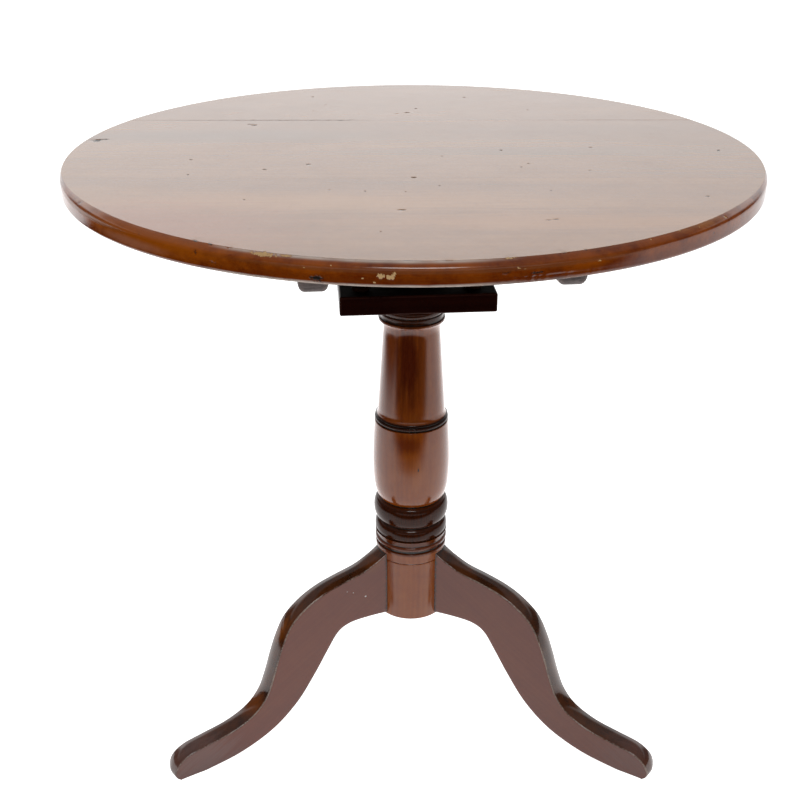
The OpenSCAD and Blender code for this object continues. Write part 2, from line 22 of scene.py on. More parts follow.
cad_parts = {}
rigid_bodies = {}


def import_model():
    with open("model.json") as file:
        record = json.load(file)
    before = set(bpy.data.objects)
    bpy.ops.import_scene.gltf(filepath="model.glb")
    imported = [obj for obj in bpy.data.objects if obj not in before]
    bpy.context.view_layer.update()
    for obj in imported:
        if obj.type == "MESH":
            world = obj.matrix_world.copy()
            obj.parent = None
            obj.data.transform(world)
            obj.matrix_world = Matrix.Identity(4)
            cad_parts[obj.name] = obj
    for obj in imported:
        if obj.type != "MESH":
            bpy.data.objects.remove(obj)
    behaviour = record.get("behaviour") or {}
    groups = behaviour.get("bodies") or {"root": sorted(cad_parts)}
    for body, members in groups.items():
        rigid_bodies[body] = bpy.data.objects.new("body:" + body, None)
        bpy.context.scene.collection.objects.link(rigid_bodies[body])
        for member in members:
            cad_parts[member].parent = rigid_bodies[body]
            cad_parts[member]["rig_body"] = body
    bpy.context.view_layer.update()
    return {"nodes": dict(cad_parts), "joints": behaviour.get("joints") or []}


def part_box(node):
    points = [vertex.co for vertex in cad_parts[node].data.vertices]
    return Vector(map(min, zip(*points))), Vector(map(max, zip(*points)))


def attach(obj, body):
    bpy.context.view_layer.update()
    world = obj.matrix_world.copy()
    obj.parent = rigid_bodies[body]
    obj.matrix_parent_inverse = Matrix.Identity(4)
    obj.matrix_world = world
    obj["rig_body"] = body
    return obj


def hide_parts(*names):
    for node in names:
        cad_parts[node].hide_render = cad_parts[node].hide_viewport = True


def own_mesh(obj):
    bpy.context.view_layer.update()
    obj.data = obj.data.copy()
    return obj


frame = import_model()

MM = 0.001
Colour = tuple[float, float, float]
Place = tuple[float, float, float]
Point = tuple[float, float]
ORIGIN = (0.0, 0.0, 0.0)

log = logging.getLogger("tripod_table")


class Slot(Enum):
    """The record's material slots."""

    TOP_WOOD = "top_wood"
    DARK_WOOD = "dark_wood"
    RED_WOOD = "red_wood"
    BRASS = "brass"
    SCREW_STEEL = "screw_steel"
    SPRING_STEEL = "spring_steel"


class Fibre(Enum):
    """Which way a piece's fibres run, as the order of its axes: along, across, and through."""

    ALONG_X = (0, 1, 2)
    ALONG_Y = (1, 0, 2)
    ALONG_Z = (2, 0, 1)


class Side(Enum):
    """The two sides of the table, as the sign of X."""

    LEFT = -1
    RIGHT = 1


# Node sheets and shared effects


class NodeSheet:
    """Adds nodes to one tree. Each input is a number or another node's output."""

    def __init__(self, tree: NodeTree) -> None:
        """Keeps the tree to add to."""
        self.tree = tree

    def add(self, kind: str, inputs: dict[Any, Any] | None = None, **settings: Any) -> Node:
        """Adds one node.

        Args:
            kind: the node's type name.
            inputs: values or outputs for its inputs, by name or number.
            settings: the node's own properties.

        Returns:
            The new node.
        """
        node = self.tree.nodes.new(kind)
        for name, value in settings.items():
            setattr(node, name, value)
        for key, value in (inputs or {}).items():
            self.feed(node.inputs[key], value)
        return node

    def feed(self, socket: NodeSocket, value: Any) -> None:
        """Links an output into a socket, or sets the socket's own value."""
        if isinstance(value, NodeSocket):
            self.tree.links.new(value, socket)
        else:
            socket.default_value = value

    def place(self, effect: NodeTree, inputs: dict[str, Any]) -> Node:
        """Adds a shared effect with its own values and returns its node."""
        return self.add("ShaderNodeGroup", inputs, node_tree=effect)

    def mask(self, effect: NodeTree, inputs: dict[str, Any]) -> NodeSocket:
        """Adds a shared effect with its own values and returns its mask."""
        return self.place(effect, inputs).outputs["Mask"]

    def math(self, operation: str, a: Any, b: Any = 0.0, clamp: bool = False) -> NodeSocket:
        """Returns the result of a math operation on two values."""
        return self.add("ShaderNodeMath", {0: a, 1: b}, operation=operation, use_clamp=clamp).outputs[0]

    def plus(self, a: Any, b: Any) -> NodeSocket:
        """Returns the sum of two values."""
        return self.math("ADD", a, b)

    def minus(self, a: Any, b: Any, clamp: bool = False) -> NodeSocket:
        """Returns one value less another."""
        return self.math("SUBTRACT", a, b, clamp)

    def times(self, a: Any, b: Any, clamp: bool = False) -> NodeSocket:
        """Returns the product of two values."""
        return self.math("MULTIPLY", a, b, clamp)

    def weighed(self, *parts: tuple[Any, float]) -> NodeSocket:
        """Returns the sum of some values, each times its weight.

        Args:
            parts: each value with its weight.

        Returns:
            The sum's output.
        """
        total = self.times(*parts[0])
        for part in parts[1:]:
            total = self.plus(total, self.times(*part))
        return total

    def vector(self, operation: str, a: Any, b: Any = ORIGIN) -> NodeSocket:
        """Returns the vector result of an operation on two vectors."""
        return self.add("ShaderNodeVectorMath", {0: a, 1: b}, operation=operation).outputs[0]

    def split(self, vector: Any) -> Any:
        """Returns the parts of a vector, as the outputs X, Y and Z."""
        return self.add("ShaderNodeSeparateXYZ", {0: vector}).outputs

    def join(self, x: Any = 0.0, y: Any = 0.0, z: Any = 0.0) -> NodeSocket:
        """Returns a vector made of three numbers."""
        return self.add("ShaderNodeCombineXYZ", {0: x, 1: y, 2: z}).outputs[0]

    def step(self, value: Any, low: float, high: float, to_low: float = 0.0,
             to_high: float = 1.0) -> NodeSocket:
        """Returns a smooth step of a value, from to_low below low to to_high above high."""
        settings = {"From Min": low, "From Max": high, "To Min": to_low, "To Max": to_high}
        return self.add("ShaderNodeMapRange", {"Value": value, **settings},
                        interpolation_type="SMOOTHSTEP").outputs[0]

    def fall(self, value: Any, low: Any, high: float) -> NodeSocket:
        """Returns a smooth step down, from 1 below low to 0 above high."""
        return self.step(value, low, high, 1.0, 0.0)

    def noise(self, vector: Any, scale: float, detail: float = 2.0, roughness: float = 0.5,
              distortion: float = 0.0) -> NodeSocket:
        """Returns a noise value, about 0.5 on average."""
        inputs = {"Vector": vector, "Scale": scale, "Detail": detail, "Roughness": roughness,
                  "Distortion": distortion}
        return self.add("ShaderNodeTexNoise", inputs).outputs[0]

    def drawn_noise(self, vector: Any, scale: Place, detail: float, roughness: float = 0.5,
                    distortion: float = 0.0) -> NodeSocket:
        """Returns a noise value with a scale of its own on each axis."""
        return self.noise(self.vector("MULTIPLY", vector, scale), 1.0, detail, roughness, distortion)

    def blend(self, factor: Any, a: Any, b: Any) -> NodeSocket:
        """Returns a colour between a and b.

        Args:
            factor: 0 for a, 1 for b.
            a: a colour or an output.
            b: another.

        Returns:
            The output.
        """
        node = self.add("ShaderNodeMix", data_type="RGBA")
        for index, value in ((0, factor), (6, a), (7, b)):
            self.feed(node.inputs[index], (*value, 1.0) if isinstance(value, tuple) else value)
        return node.outputs[2]

    def between(self, factor: Any, a: Any, b: Any) -> NodeSocket:
        """Returns a number between a and b."""
        return self.add("ShaderNodeMix", {0: factor, 2: a, 3: b}, data_type="FLOAT").outputs[0]

    def ramp(self, factor: Any, stops: Sequence[tuple[float, Colour]]) -> NodeSocket:
        """Returns a colour from a ramp with the given stops.

        Args:
            factor: the value to look up.
            stops: each stop's place and colour.

        Returns:
            The output.
        """
        node = self.add("ShaderNodeValToRGB", {0: factor})
        elements = node.color_ramp.elements
        while len(elements) < len(stops):
            elements.new(0.5)
        for element, (position, colour) in zip(elements, stops):
            element.position = position
            element.color = (*colour, 1.0)
        return node.outputs[0]

    def bump(self, height: Any, strength: float, distance: float,
             normal: Any = None) -> NodeSocket:
        """Returns a normal bent by a height, over another bent normal where one is given.

        Args:
            height: the height, as an output.
            strength: how much it tells.
            distance: what a height of 1 stands for.
            normal: another bent normal.

        Returns:
            The output.
        """
        inputs = {"Height": height, "Strength": strength, "Distance": distance}
        if normal is not None:
            inputs["Normal"] = normal
        return self.add("ShaderNodeBump", inputs).outputs[0]

    def rotation(self, angles: Any) -> NodeSocket:
        """Returns the rotation by three angles, for a Geometry Nodes tree."""
        return self.add("FunctionNodeEulerToRotation", {0: angles}).outputs[0]

    def attribute(self, name: str, output: str = "Fac") -> NodeSocket:
        """Returns a mesh attribute of the piece."""
        return self.add("ShaderNodeAttribute", attribute_name=name).outputs[output]

    def object_place(self) -> NodeSocket:
        """Returns the place on the piece, which is its place in the table's frame at rest."""
        return self.add("ShaderNodeTexCoord").outputs["Object"]

def new_effect(title: str, inputs: dict[str, Any],
               outputs: Sequence[str] = ("Mask",)) -> tuple[NodeSheet, Any, Any]:
    """Starts a shader node group.

    Args:
        title: the group's name.
        inputs: each input's name and default, a number or a vector.
        outputs: the names of its outputs, all masks or values.

    Returns:
        The sheet, the group's input sockets and the sockets of its output node.
    """
    tree = bpy.data.node_groups.new(title, "ShaderNodeTree")
    for name, value in inputs.items():
        kind = "NodeSocketVector" if isinstance(value, tuple) else "NodeSocketFloat"
        socket = tree.interface.new_socket(name=name, in_out="INPUT", socket_type=kind)
        socket.default_value = value
    for name in outputs:
        tree.interface.new_socket(name=name, in_out="OUTPUT", socket_type="NodeSocketFloat")
    sheet = NodeSheet(tree)
    return sheet, sheet.add("NodeGroupInput").outputs, sheet.add("NodeGroupOutput").inputs


class SharedEffects:
    """The surface effects that several finishes share, each one drawn once."""

    def __init__(self) -> None:
        """Draws the groups."""
        self.figure = self._wood_figure()
        self.rubbed_and_highlight = self._rubbed_and_highlit_arris()
        self.grime = self._settled_grime()
        self.knocks = self._small_knocks()
        self.spot = self._one_spot()
        self.cloud = self._one_cloud()

    def _wood_figure(self) -> NodeTree:
        """Slow tone, growth rings, fibres and pores, all drawn out along the grain's first axis.

        Returns:
            The group's tree.
        """
        sheet, given, result = new_effect(
            "wood figure", {"Grain": ORIGIN, "Pith": ORIGIN, "Ring Scale": 50.0},
            ("Tone", "Fibre", "Pores"))
        grain = given["Grain"]
        drift = sheet.drawn_noise(grain, (1.6, 15.0, 15.0), 3.0, 0.5, 0.5)
        streak = sheet.drawn_noise(grain, (5.0, 110.0, 110.0), 4.0, 0.6)
        mottle = sheet.drawn_noise(grain, (60.0, 42.0, 42.0), 3.0, 0.55)
        around = sheet.vector("MULTIPLY", sheet.vector("SUBTRACT", grain, given["Pith"]),
                              (0.25, 1.0, 1.0))
        rings = sheet.add("ShaderNodeTexWave",
                          {"Vector": around, "Scale": given["Ring Scale"], "Distortion": 5.0,
                           "Detail": 2.0, "Detail Scale": 0.6},
                          wave_type="RINGS", rings_direction="X")
        tone = sheet.weighed((drift, 0.5), (streak, 0.22), (mottle, 0.24), (rings.outputs["Fac"], 0.04))
        fibre = sheet.drawn_noise(grain, (30.0, 1300.0, 1300.0), 3.0)
        pores = sheet.drawn_noise(grain, (160.0, 2400.0, 2400.0), 1.0)
        for name, value, low, high in (("Tone", tone, 0.25, 0.75), ("Fibre", fibre, 0.3, 0.7),
                                       ("Pores", pores, 0.66, 0.74)):
            sheet.feed(result[name], sheet.step(value, low, high))
        return sheet.tree

    def _rubbed_and_highlit_arris(self) -> NodeTree:
        """Where handling has taken the varnish off the arrises, and where a highlight line is painted along
        them.

        Returns:
            The group's tree.
        """
        sheet, given, result = new_effect("rubbed arris", {"Arris": 0.0, "Place": ORIGIN, "Amount": 0.5})
        broad = sheet.noise(given["Place"], 22.0, 3.0)
        fine = sheet.noise(given["Place"], 420.0, 3.0, 0.6)
        patchy = sheet.weighed((broad, 0.9), (fine, 0.5))
        wear_and_highlight = sheet.minus(sheet.plus(patchy, given["Amount"]), 0.9)
        sheet.feed(result["Mask"], sheet.times(sheet.step(wear_and_highlight, 0.0, 0.35), given["Arris"], clamp=True))
        return sheet.tree

    def _settled_grime(self) -> NodeTree:
        """Dark wax and dust in the hollows.

        Returns:
            The group's tree.
        """
        sheet, given, result = new_effect("settled grime", {"Hollow": 0.0, "Place": ORIGIN})
        patchy = sheet.times(sheet.noise(given["Place"], 160.0, 3.0, 0.6), 0.7)
        depth = sheet.plus(given["Hollow"], sheet.minus(patchy, 0.35))
        sheet.feed(result["Mask"], sheet.step(depth, 0.3, 0.85))
        return sheet.tree

    def _small_knocks(self) -> NodeTree:
        """Small dark knocks and pinholes, scattered in cells of a given size.

        Returns:
            The group's tree.
        """
        sheet, given, result = new_effect(
            "small knocks", {"Place": ORIGIN, "Cells": 30.0, "Share": 0.2, "Radius": 0.05})
        cell = sheet.add("ShaderNodeTexVoronoi", {"Vector": given["Place"], "Scale": given["Cells"]})
        lot = sheet.add("ShaderNodeSeparateColor", {0: cell.outputs["Color"]}).outputs[0]
        chosen = sheet.math("LESS_THAN", lot, given["Share"])
        near = sheet.math("DIVIDE", cell.outputs["Distance"], given["Radius"])
        sheet.feed(result["Mask"], sheet.times(sheet.fall(near, 0.6, 1.0), chosen))
        return sheet.tree

    def _one_spot(self) -> NodeTree:
        """One ragged spot at a given place.

        Returns:
            The group's tree.
        """
        sheet, given, result = new_effect(
            "one spot", {"Place": ORIGIN, "Centre": ORIGIN, "Radius": 0.001})
        away = sheet.add("ShaderNodeVectorMath", {0: given["Place"], 1: given["Centre"]},
                         operation="DISTANCE").outputs["Value"]
        ragged = sheet.minus(sheet.noise(given["Place"], 900.0, 1.0), 0.5)
        near = sheet.plus(sheet.math("DIVIDE", away, given["Radius"]), ragged)
        sheet.feed(result["Mask"], sheet.fall(near, 0.7, 1.1))
        return sheet.tree

    def _one_cloud(self) -> NodeTree:
        """One soft cloud of colour, drawn out by its half sizes, with streaky edges.

        Returns:
            The group's tree.
        """
        sheet, given, result = new_effect(
            "one cloud", {"Place": ORIGIN, "Grain": ORIGIN, "Centre": ORIGIN,
                          "Half Size": (0.01, 0.01, 0.01), "Ragged": 1.3, "Soft": 0.75})
        away = sheet.vector("DIVIDE", sheet.vector("SUBTRACT", given["Place"], given["Centre"]),
                            given["Half Size"])
        far = sheet.add("ShaderNodeVectorMath", {0: away}, operation="LENGTH").outputs["Value"]
        streak = sheet.drawn_noise(given["Grain"], (14.0, 170.0, 170.0), 4.0, 0.6)
        near = sheet.plus(far, sheet.times(sheet.minus(streak, 0.5), given["Ragged"]))
        sheet.feed(result["Mask"], sheet.fall(near, sheet.minus(1.0, given["Soft"]), 1.15))
        return sheet.tree


# Finishes


@dataclass(frozen=True)
class Cloud:
    """A lighter or darker cloud in the colour, at a place in the table's frame; most are stain, a few
    painted light and shade.

    A rough above 0 gives the cloud a roughness and a coat of its own. Ragged says how far the
    grain's streaks break its edge, and soft how much of it is edge.
    """

    centre: Place
    half_size: Place
    colour: Colour
    strength: float = 0.8
    rough: float = 0.0
    coat: float = 0.12
    ragged: float = 1.3
    soft: float = 0.75


def band(height: float, half: float, colour: Colour, strength: float, rough: float, coat: float,
         soft: float) -> Cloud:
    """Returns a cloud that lies as a level, even band all round the pillar."""
    return Cloud((0.0, 0.0, height), (0.30, 0.30, half), colour, strength, rough, coat, 0.0, soft)


@dataclass(frozen=True)
class Spot:
    """A speck or a small dent on a finish, at a place in the table's frame."""

    centre: Place
    radius: float
    colour: Colour


def scaled(colour: Colour, by: float) -> Colour:
    """Returns a colour made darker or lighter."""
    return tuple(by * part for part in colour)


def new_material(title: str) -> tuple[Material, NodeSheet, Node]:
    """Starts a material.

    Args:
        title: its name.

    Returns:
        The material, the sheet of its tree and its Principled shader.
    """
    material = bpy.data.materials.new(title)
    material.use_nodes = True
    shader = material.node_tree.nodes["Principled BSDF"]
    return material, NodeSheet(material.node_tree), shader


@dataclass(frozen=True)
class WoodFinish:
    """A stained and varnished wood, with its figure, its wear and its bare chips, and in places painted
    light and shade.
    """

    title: str
    deep: Colour
    core: Colour
    pale: Colour
    rubbed_and_highlight: Colour
    pith: Place = (0.0, 0.02, -0.09)
    ring_scale: float = 50.0
    gloss: float = 0.16
    rub_and_highlight_amount: float = 0.5
    knock_share: float = 0.1
    turned_lines: float = 0.0
    raw: Colour = (0.66, 0.42, 0.19)
    dull: Colour = (0.09, 0.05, 0.03)
    grime: Colour = (0.010, 0.006, 0.004)
    soaked: tuple[Colour, Colour] = ((0.10, 0.010, 0.0), (0.29, 0.058, 0.0))
    shine: float = 0.5
    relief: float = 0.30
    coat: float = 0.0
    spots: tuple[Spot, ...] = ()
    clouds: tuple[Cloud, ...] = ()

    def material(self, effects: SharedEffects) -> Material:
        """Draws the material.

        Args:
            effects: the shared effects that it places.

        Returns:
            The material.
        """
        material, sheet, shader = new_material(self.title)
        place = sheet.object_place()
        grain = sheet.attribute("grain", "Vector")
        figure = sheet.place(effects.figure, {"Grain": grain, "Pith": self.pith,
                                              "Ring Scale": self.ring_scale}).outputs
        tone, fibre, pores = figure["Tone"], figure["Fibre"], figure["Pores"]
        # The worn mask is real wear on the arrises, and on the top's rim and the legs also a painted
        # highlight line in the rubbed colour.
        wear_and_highlight = sheet.mask(effects.rubbed_and_highlight, {"Arris": sheet.attribute("arris"), "Place": place,
                                           "Amount": self.rub_and_highlight_amount})
        dirty = sheet.mask(effects.grime, {"Hollow": sheet.attribute("hollow"), "Place": place})
        knocks = sheet.mask(effects.knocks, {"Place": place, "Cells": 38.0, "Share": self.knock_share,
                                             "Radius": 0.032})
        ragged = sheet.noise(place, 750.0, 3.0, 0.65)
        bare = sheet.step(sheet.plus(sheet.attribute("bare"), sheet.times(ragged, 0.7)), 0.78, 0.9)
        patches = sheet.step(sheet.drawn_noise(place, (70.0, 70.0, 520.0), 4.0, 0.65),
                             0.30, 0.62, 0.35, 1.1)
        dull = sheet.attribute("dull")
        # Values near 1 are kept whole, without the mottling: that paints the lower plate's upper face
        # evenly near black as shade.
        dull = sheet.math("MAXIMUM", sheet.times(dull, patches, clamp=True), sheet.step(dull, 0.92, 0.98))

        smudge = sheet.noise(place, 14.0, 4.0, 0.6)
        rough = sheet.plus(sheet.times(smudge, 0.10), self.gloss - 0.05)
        colour = sheet.ramp(tone, ((0.0, self.deep), (0.5, self.core), (1.0, self.pale)))
        soaked = sheet.attribute("soaked")
        stain = sheet.weighed((sheet.noise(place, 30.0, 5.0, 0.7), 0.8), (tone, 0.2))
        colour = sheet.blend(soaked, colour, sheet.blend(sheet.step(stain, 0.30, 0.66), *self.soaked))
        rough = sheet.between(soaked, rough, 0.11)
        coat = self.coat
        for cloud in self.clouds:
            mask = sheet.mask(effects.cloud, {"Place": place, "Grain": grain, "Centre": cloud.centre,
                                              "Half Size": cloud.half_size, "Ragged": cloud.ragged,
                                              "Soft": cloud.soft})
            mask = sheet.times(mask, cloud.strength)
            colour = sheet.blend(mask, colour, cloud.colour)
            if cloud.rough:
                rough = sheet.between(mask, rough, cloud.rough)
                coat = sheet.between(mask, coat, cloud.coat)
        colour = sheet.blend(sheet.step(fibre, 0.2, 0.9, 0.16, 0.0), colour, self.deep)
        colour = sheet.blend(sheet.times(pores, 0.25), colour, self.grime)
        colour = sheet.blend(wear_and_highlight, colour, self.rubbed_and_highlight)
        drawn_out = sheet.drawn_noise(grain, (5.0, 90.0, 90.0), 5.0, 0.65)
        faded = sheet.weighed((tone, 0.35), (sheet.step(drawn_out, 0.36, 0.66), 0.65))
        colour = sheet.blend(dull, colour, sheet.blend(faded, scaled(self.dull, 0.70),
                                                       scaled(self.dull, 1.25)))
        colour = sheet.blend(dirty, colour, self.grime)
        colour = sheet.blend(sheet.times(knocks, 0.8), colour, self.grime)
        colour = sheet.blend(bare, colour, sheet.blend(ragged, self.raw, scaled(self.raw, 0.75)))
        for spot in self.spots:
            mask = sheet.mask(effects.spot, {"Place": place, "Centre": spot.centre,
                                             "Radius": spot.radius})
            colour = sheet.blend(mask, colour, spot.colour)

        rough = sheet.between(wear_and_highlight, rough, self.gloss + 0.12)
        rough = sheet.between(dirty, rough, 0.30)
        rough = sheet.between(dull, rough, 0.75)
        rough = sheet.between(bare, rough, 0.8)

        relief = sheet.minus(sheet.times(fibre, 0.30), pores)
        relief = sheet.minus(relief, sheet.times(knocks, 2.5))
        relief = sheet.plus(relief, sheet.times(sheet.times(ragged, bare), 3.0))
        if self.turned_lines:
            lines = sheet.drawn_noise(place, (12.0, 12.0, 1400.0), 3.0, 0.7)
            relief = sheet.plus(relief, sheet.times(lines, self.turned_lines))
        broad = sheet.bump(sheet.noise(place, 26.0, 2.0), 0.35, 0.0006)
        fine = sheet.bump(relief, self.relief, 0.0001, broad)
        for name, value in (("Base Color", colour), ("Roughness", rough), ("Normal", fine),
                            ("Coat Weight", coat), ("Coat Roughness", self.gloss), ("IOR", 1.5),
                            ("Specular IOR Level", self.shine)):
            sheet.feed(shader.inputs[name], value)
        return material


@dataclass(frozen=True)
class MetalFinish:
    """An aged metal: clean metal on what is handled, tarnish elsewhere."""

    title: str
    clean: Colour
    tarnish: Colour
    smooth: float
    coarse: float
    tarnish_amount: float = 0.5

    def material(self, effects: SharedEffects) -> Material:
        """Draws the material.

        Args:
            effects: the shared effects that it places.

        Returns:
            The material.
        """
        material, sheet, shader = new_material(self.title)
        place = sheet.object_place()
        rubbed_and_highlight = sheet.mask(effects.rubbed_and_highlight, {"Arris": sheet.attribute("arris"), "Place": place,
                                             "Amount": 0.7})
        half = 0.5 - 0.3 * (self.tarnish_amount - 0.5)
        aged = sheet.step(sheet.noise(place, 240.0, 5.0, 0.65), half - 0.30, half + 0.30)
        aged = sheet.minus(aged, rubbed_and_highlight, clamp=True)
        pits = sheet.mask(effects.knocks, {"Place": place, "Cells": 420.0, "Share": 0.10,
                                           "Radius": 0.12})
        colour = sheet.blend(aged, self.clean, self.tarnish)
        colour = sheet.blend(sheet.times(pits, 0.4), colour, scaled(self.tarnish, 0.3))
        scratch = sheet.drawn_noise(place, (300.0, 4000.0, 4000.0), 2.0)
        for name, value in (("Base Color", colour), ("Metallic", 1.0),
                            ("Roughness", sheet.between(aged, self.smooth, self.coarse)),
                            ("Normal", sheet.bump(sheet.minus(scratch, pits), 0.25, 0.00006))):
            sheet.feed(shader.inputs[name], value)
        return material


# Its pale rubbed colour paints a highlight line along the rim's upper arris, over real wear.
TOP_VARNISH = WoodFinish(
    "varnished top", deep=(0.210, 0.072, 0.009), core=(0.280, 0.103, 0.014), pale=(0.365, 0.147, 0.024),
    rubbed_and_highlight=(0.62, 0.52, 0.45), dull=(0.16, 0.085, 0.045), ring_scale=34.0, gloss=0.17,
    rub_and_highlight_amount=0.6, relief=0.12,
    clouds=(Cloud((-0.10, -0.19, 0.70), (0.30, 0.040, 0.004), (0.46, 0.20, 0.045), 0.55),
            Cloud((0.14, -0.25, 0.70), (0.24, 0.030, 0.004), (0.44, 0.17, 0.030), 0.5),
            Cloud((-0.20, 0.07, 0.70), (0.22, 0.035, 0.004), (0.15, 0.075, 0.035), 0.5),
            Cloud((0.16, 0.00, 0.70), (0.26, 0.025, 0.004), (0.16, 0.080, 0.040), 0.45),
            Cloud((0.0, 0.0, 0.6825), (2.0, 2.0, 0.0080), (0.085, 0.007, 0.0), 0.5, ragged=0.7),
            # Painted light: a lighter amber on the rim at the front left, standing in for more light
            # falling there.
            Cloud((-0.24, -0.27, 0.694), (0.17, 0.12, 0.014), (0.36, 0.082, 0.002), 0.75),
            # Painted highlight: a soft pinkish patch of reflected light on the rim at the front left.
            Cloud((-0.245, -0.262, 0.6865), (0.055, 0.060, 0.0055), (0.34, 0.125, 0.065), 0.75, ragged=0.5),
            Cloud((-0.30, -0.20, 0.6930), (0.075, 0.09, 0.0030), (0.20, 0.055, 0.008), 0.6, rough=0.45,
                  coat=0.2, ragged=0.3, soft=0.5),
            Cloud((0.03, -0.345, 0.6930), (0.24, 0.075, 0.0030), (0.17, 0.045, 0.006), 0.5, rough=0.45,
                  coat=0.2, ragged=0.3, soft=0.5)))
RED_VARNISH = WoodFinish(
    "red-brown varnish", deep=(0.180, 0.032, 0.003), core=(0.270, 0.060, 0.004),
    pale=(0.34, 0.090, 0.008), rubbed_and_highlight=(0.24, 0.09, 0.03), pith=(0.0, 0.05, 0.03), gloss=0.13,
    rub_and_highlight_amount=0.12, turned_lines=0.9, relief=0.22, shine=0.06, coat=1.0,
    spots=(Spot((-0.0227, -0.0329, 0.4049), 0.0009, (0.010, 0.005, 0.003)),
           Spot((-0.0328, -0.0147, 0.4588), 0.0010, (0.010, 0.005, 0.003))),
    # Painted shade: the front of the upper shaft, in the top's shadow, is painted far darker.
    clouds=(Cloud((-0.004, -0.035, 0.470), (0.020, 0.040, 0.075), (0.050, 0.003, 0.0006), 0.9),
            Cloud((0.013, -0.032, 0.455), (0.006, 0.020, 0.075), (0.200, 0.046, 0.006), 0.7),
            Cloud((0.003, -0.040, 0.400), (0.010, 0.020, 0.014), (0.200, 0.050, 0.006), 0.6),
            Cloud((0.005, -0.044, 0.340), (0.011, 0.030, 0.036), (0.330, 0.085, 0.008), 0.8),
            Cloud((-0.006, -0.042, 0.374), (0.018, 0.030, 0.014), (0.110, 0.014, 0.002), 0.75),
            Cloud((-0.030, -0.030, 0.170), (0.008, 0.030, 0.060), (0.340, 0.080, 0.003), 0.9, 0.13, 0.5),
            Cloud((0.030, -0.030, 0.180), (0.008, 0.030, 0.050), (0.300, 0.070, 0.003), 0.9, 0.13, 0.5),
            Cloud((-0.030, -0.020, 0.450), (0.020, 0.030, 0.090), (0.130, 0.020, 0.002), 0.6),
            band(0.2665, 0.0235, (0.014, 0.003, 0.001), 0.97, 0.15, 0.26, 0.12),
            band(0.2340, 0.0090, (0.050, 0.008, 0.003), 0.75, 0.15, 0.6, 0.2),
            band(0.3935, 0.0045, (0.007, 0.002, 0.001), 0.97, 0.18, 0.35, 0.2),
            band(0.534, 0.020, (0.012, 0.003, 0.001), 0.95, 0.16, 0.45, 0.3),
            Cloud((0.0079, -0.0443, 0.3431), (0.0011, 0.010, 0.0031), (0.010, 0.005, 0.003), 1.0)))
# Its light rubbed colour paints a thin highlight line along the legs' arrises, over real wear.
LEG_VARNISH = WoodFinish(
    "leg varnish", deep=(0.118, 0.018, 0.005), core=(0.138, 0.024, 0.007), pale=(0.165, 0.033, 0.009),
    rubbed_and_highlight=(0.36, 0.27, 0.22), pith=(0.0, 0.03, 0.05), gloss=0.15, rub_and_highlight_amount=0.40, relief=0.08,
    shine=0.53,
    soaked=((0.012, 0.004, 0.001), (0.085, 0.022, 0.003)),
    clouds=(Cloud((-0.159, -0.092, 0.168), (0.022, 0.016, 0.030), (0.24, 0.062, 0.003), 0.85),
            Cloud((-0.189, -0.106, 0.062), (0.022, 0.018, 0.020), (0.19, 0.045, 0.003), 0.8),
            Cloud((-0.045, -0.040, 0.212), (0.014, 0.020, 0.014), (0.16, 0.040, 0.004), 0.6),
            Cloud((-0.255, -0.150, 0.020), (0.060, 0.040, 0.040), (0.17, 0.095, 0.085), 0.55),
            Cloud((0.265, -0.150, 0.020), (0.050, 0.040, 0.040), (0.15, 0.070, 0.060), 0.4)),
    spots=(Spot((-0.0545, -0.0454, 0.1719), 0.0012, (0.70, 0.68, 0.65)),
           Spot((-0.0688, -0.0536, 0.1825), 0.0008, (0.50, 0.46, 0.42)),
           Spot((-0.0758, -0.0576, 0.1866), 0.0008, (0.45, 0.40, 0.36))))
# Its near-black matte colour paints shade on the lower plate's upper face.
DARK_STAIN = WoodFinish(
    "dark stain", deep=(0.005, 0.0005, 0.0003), core=(0.011, 0.0012, 0.0006), pale=(0.020, 0.003, 0.001),
    rubbed_and_highlight=(0.03, 0.008, 0.005), dull=(0.004, 0.002, 0.0015), gloss=0.24, shine=0.05)
# Painted shade: a near-black copy of the stain with almost no reflection, for the parts that lie in deep
# shade under the top: the upper plate, the colonnettes, the collar and the wedge.
CAGE_PAINTED_SHADE = WoodFinish(
    "cage stain", deep=(0.006, 0.002, 0.0015), core=(0.014, 0.005, 0.003), pale=(0.026, 0.010, 0.006),
    rubbed_and_highlight=(0.04, 0.018, 0.011), dull=(0.003, 0.0015, 0.001), gloss=0.60, shine=0.01)
# Its pale grey matte colour paints a sheen on the battens' front noses.
BATTEN_STAIN = WoodFinish(
    "batten stain", deep=(0.020, 0.009, 0.007), core=(0.050, 0.025, 0.020), pale=(0.085, 0.045, 0.035),
    rubbed_and_highlight=(0.16, 0.10, 0.08), dull=(0.21, 0.175, 0.17), gloss=0.24)
AGED_BRASS = MetalFinish("aged brass", clean=(0.52, 0.36, 0.13), tarnish=(0.30, 0.19, 0.075),
                         smooth=0.28, coarse=0.52)
SCREW_STEEL = MetalFinish("dark screw steel", clean=(0.26, 0.24, 0.22), tarnish=(0.09, 0.05, 0.03),
                          smooth=0.38, coarse=0.72, tarnish_amount=0.7)
SPRING_WIRE = MetalFinish("spring wire", clean=(0.58, 0.57, 0.55), tarnish=(0.28, 0.24, 0.20),
                          smooth=0.22, coarse=0.45, tarnish_amount=0.3)


# Meshes


def new_object(name: str, data: ID) -> Object:
    """Puts a mesh, a camera or a light in the scene as an object, and returns the object.

    Args:
        name: its name.
        data: what it shows.

    Returns:
        The object, at the origin.
    """
    piece = bpy.data.objects.new(name, data)
    bpy.context.scene.collection.objects.link(piece)
    return piece


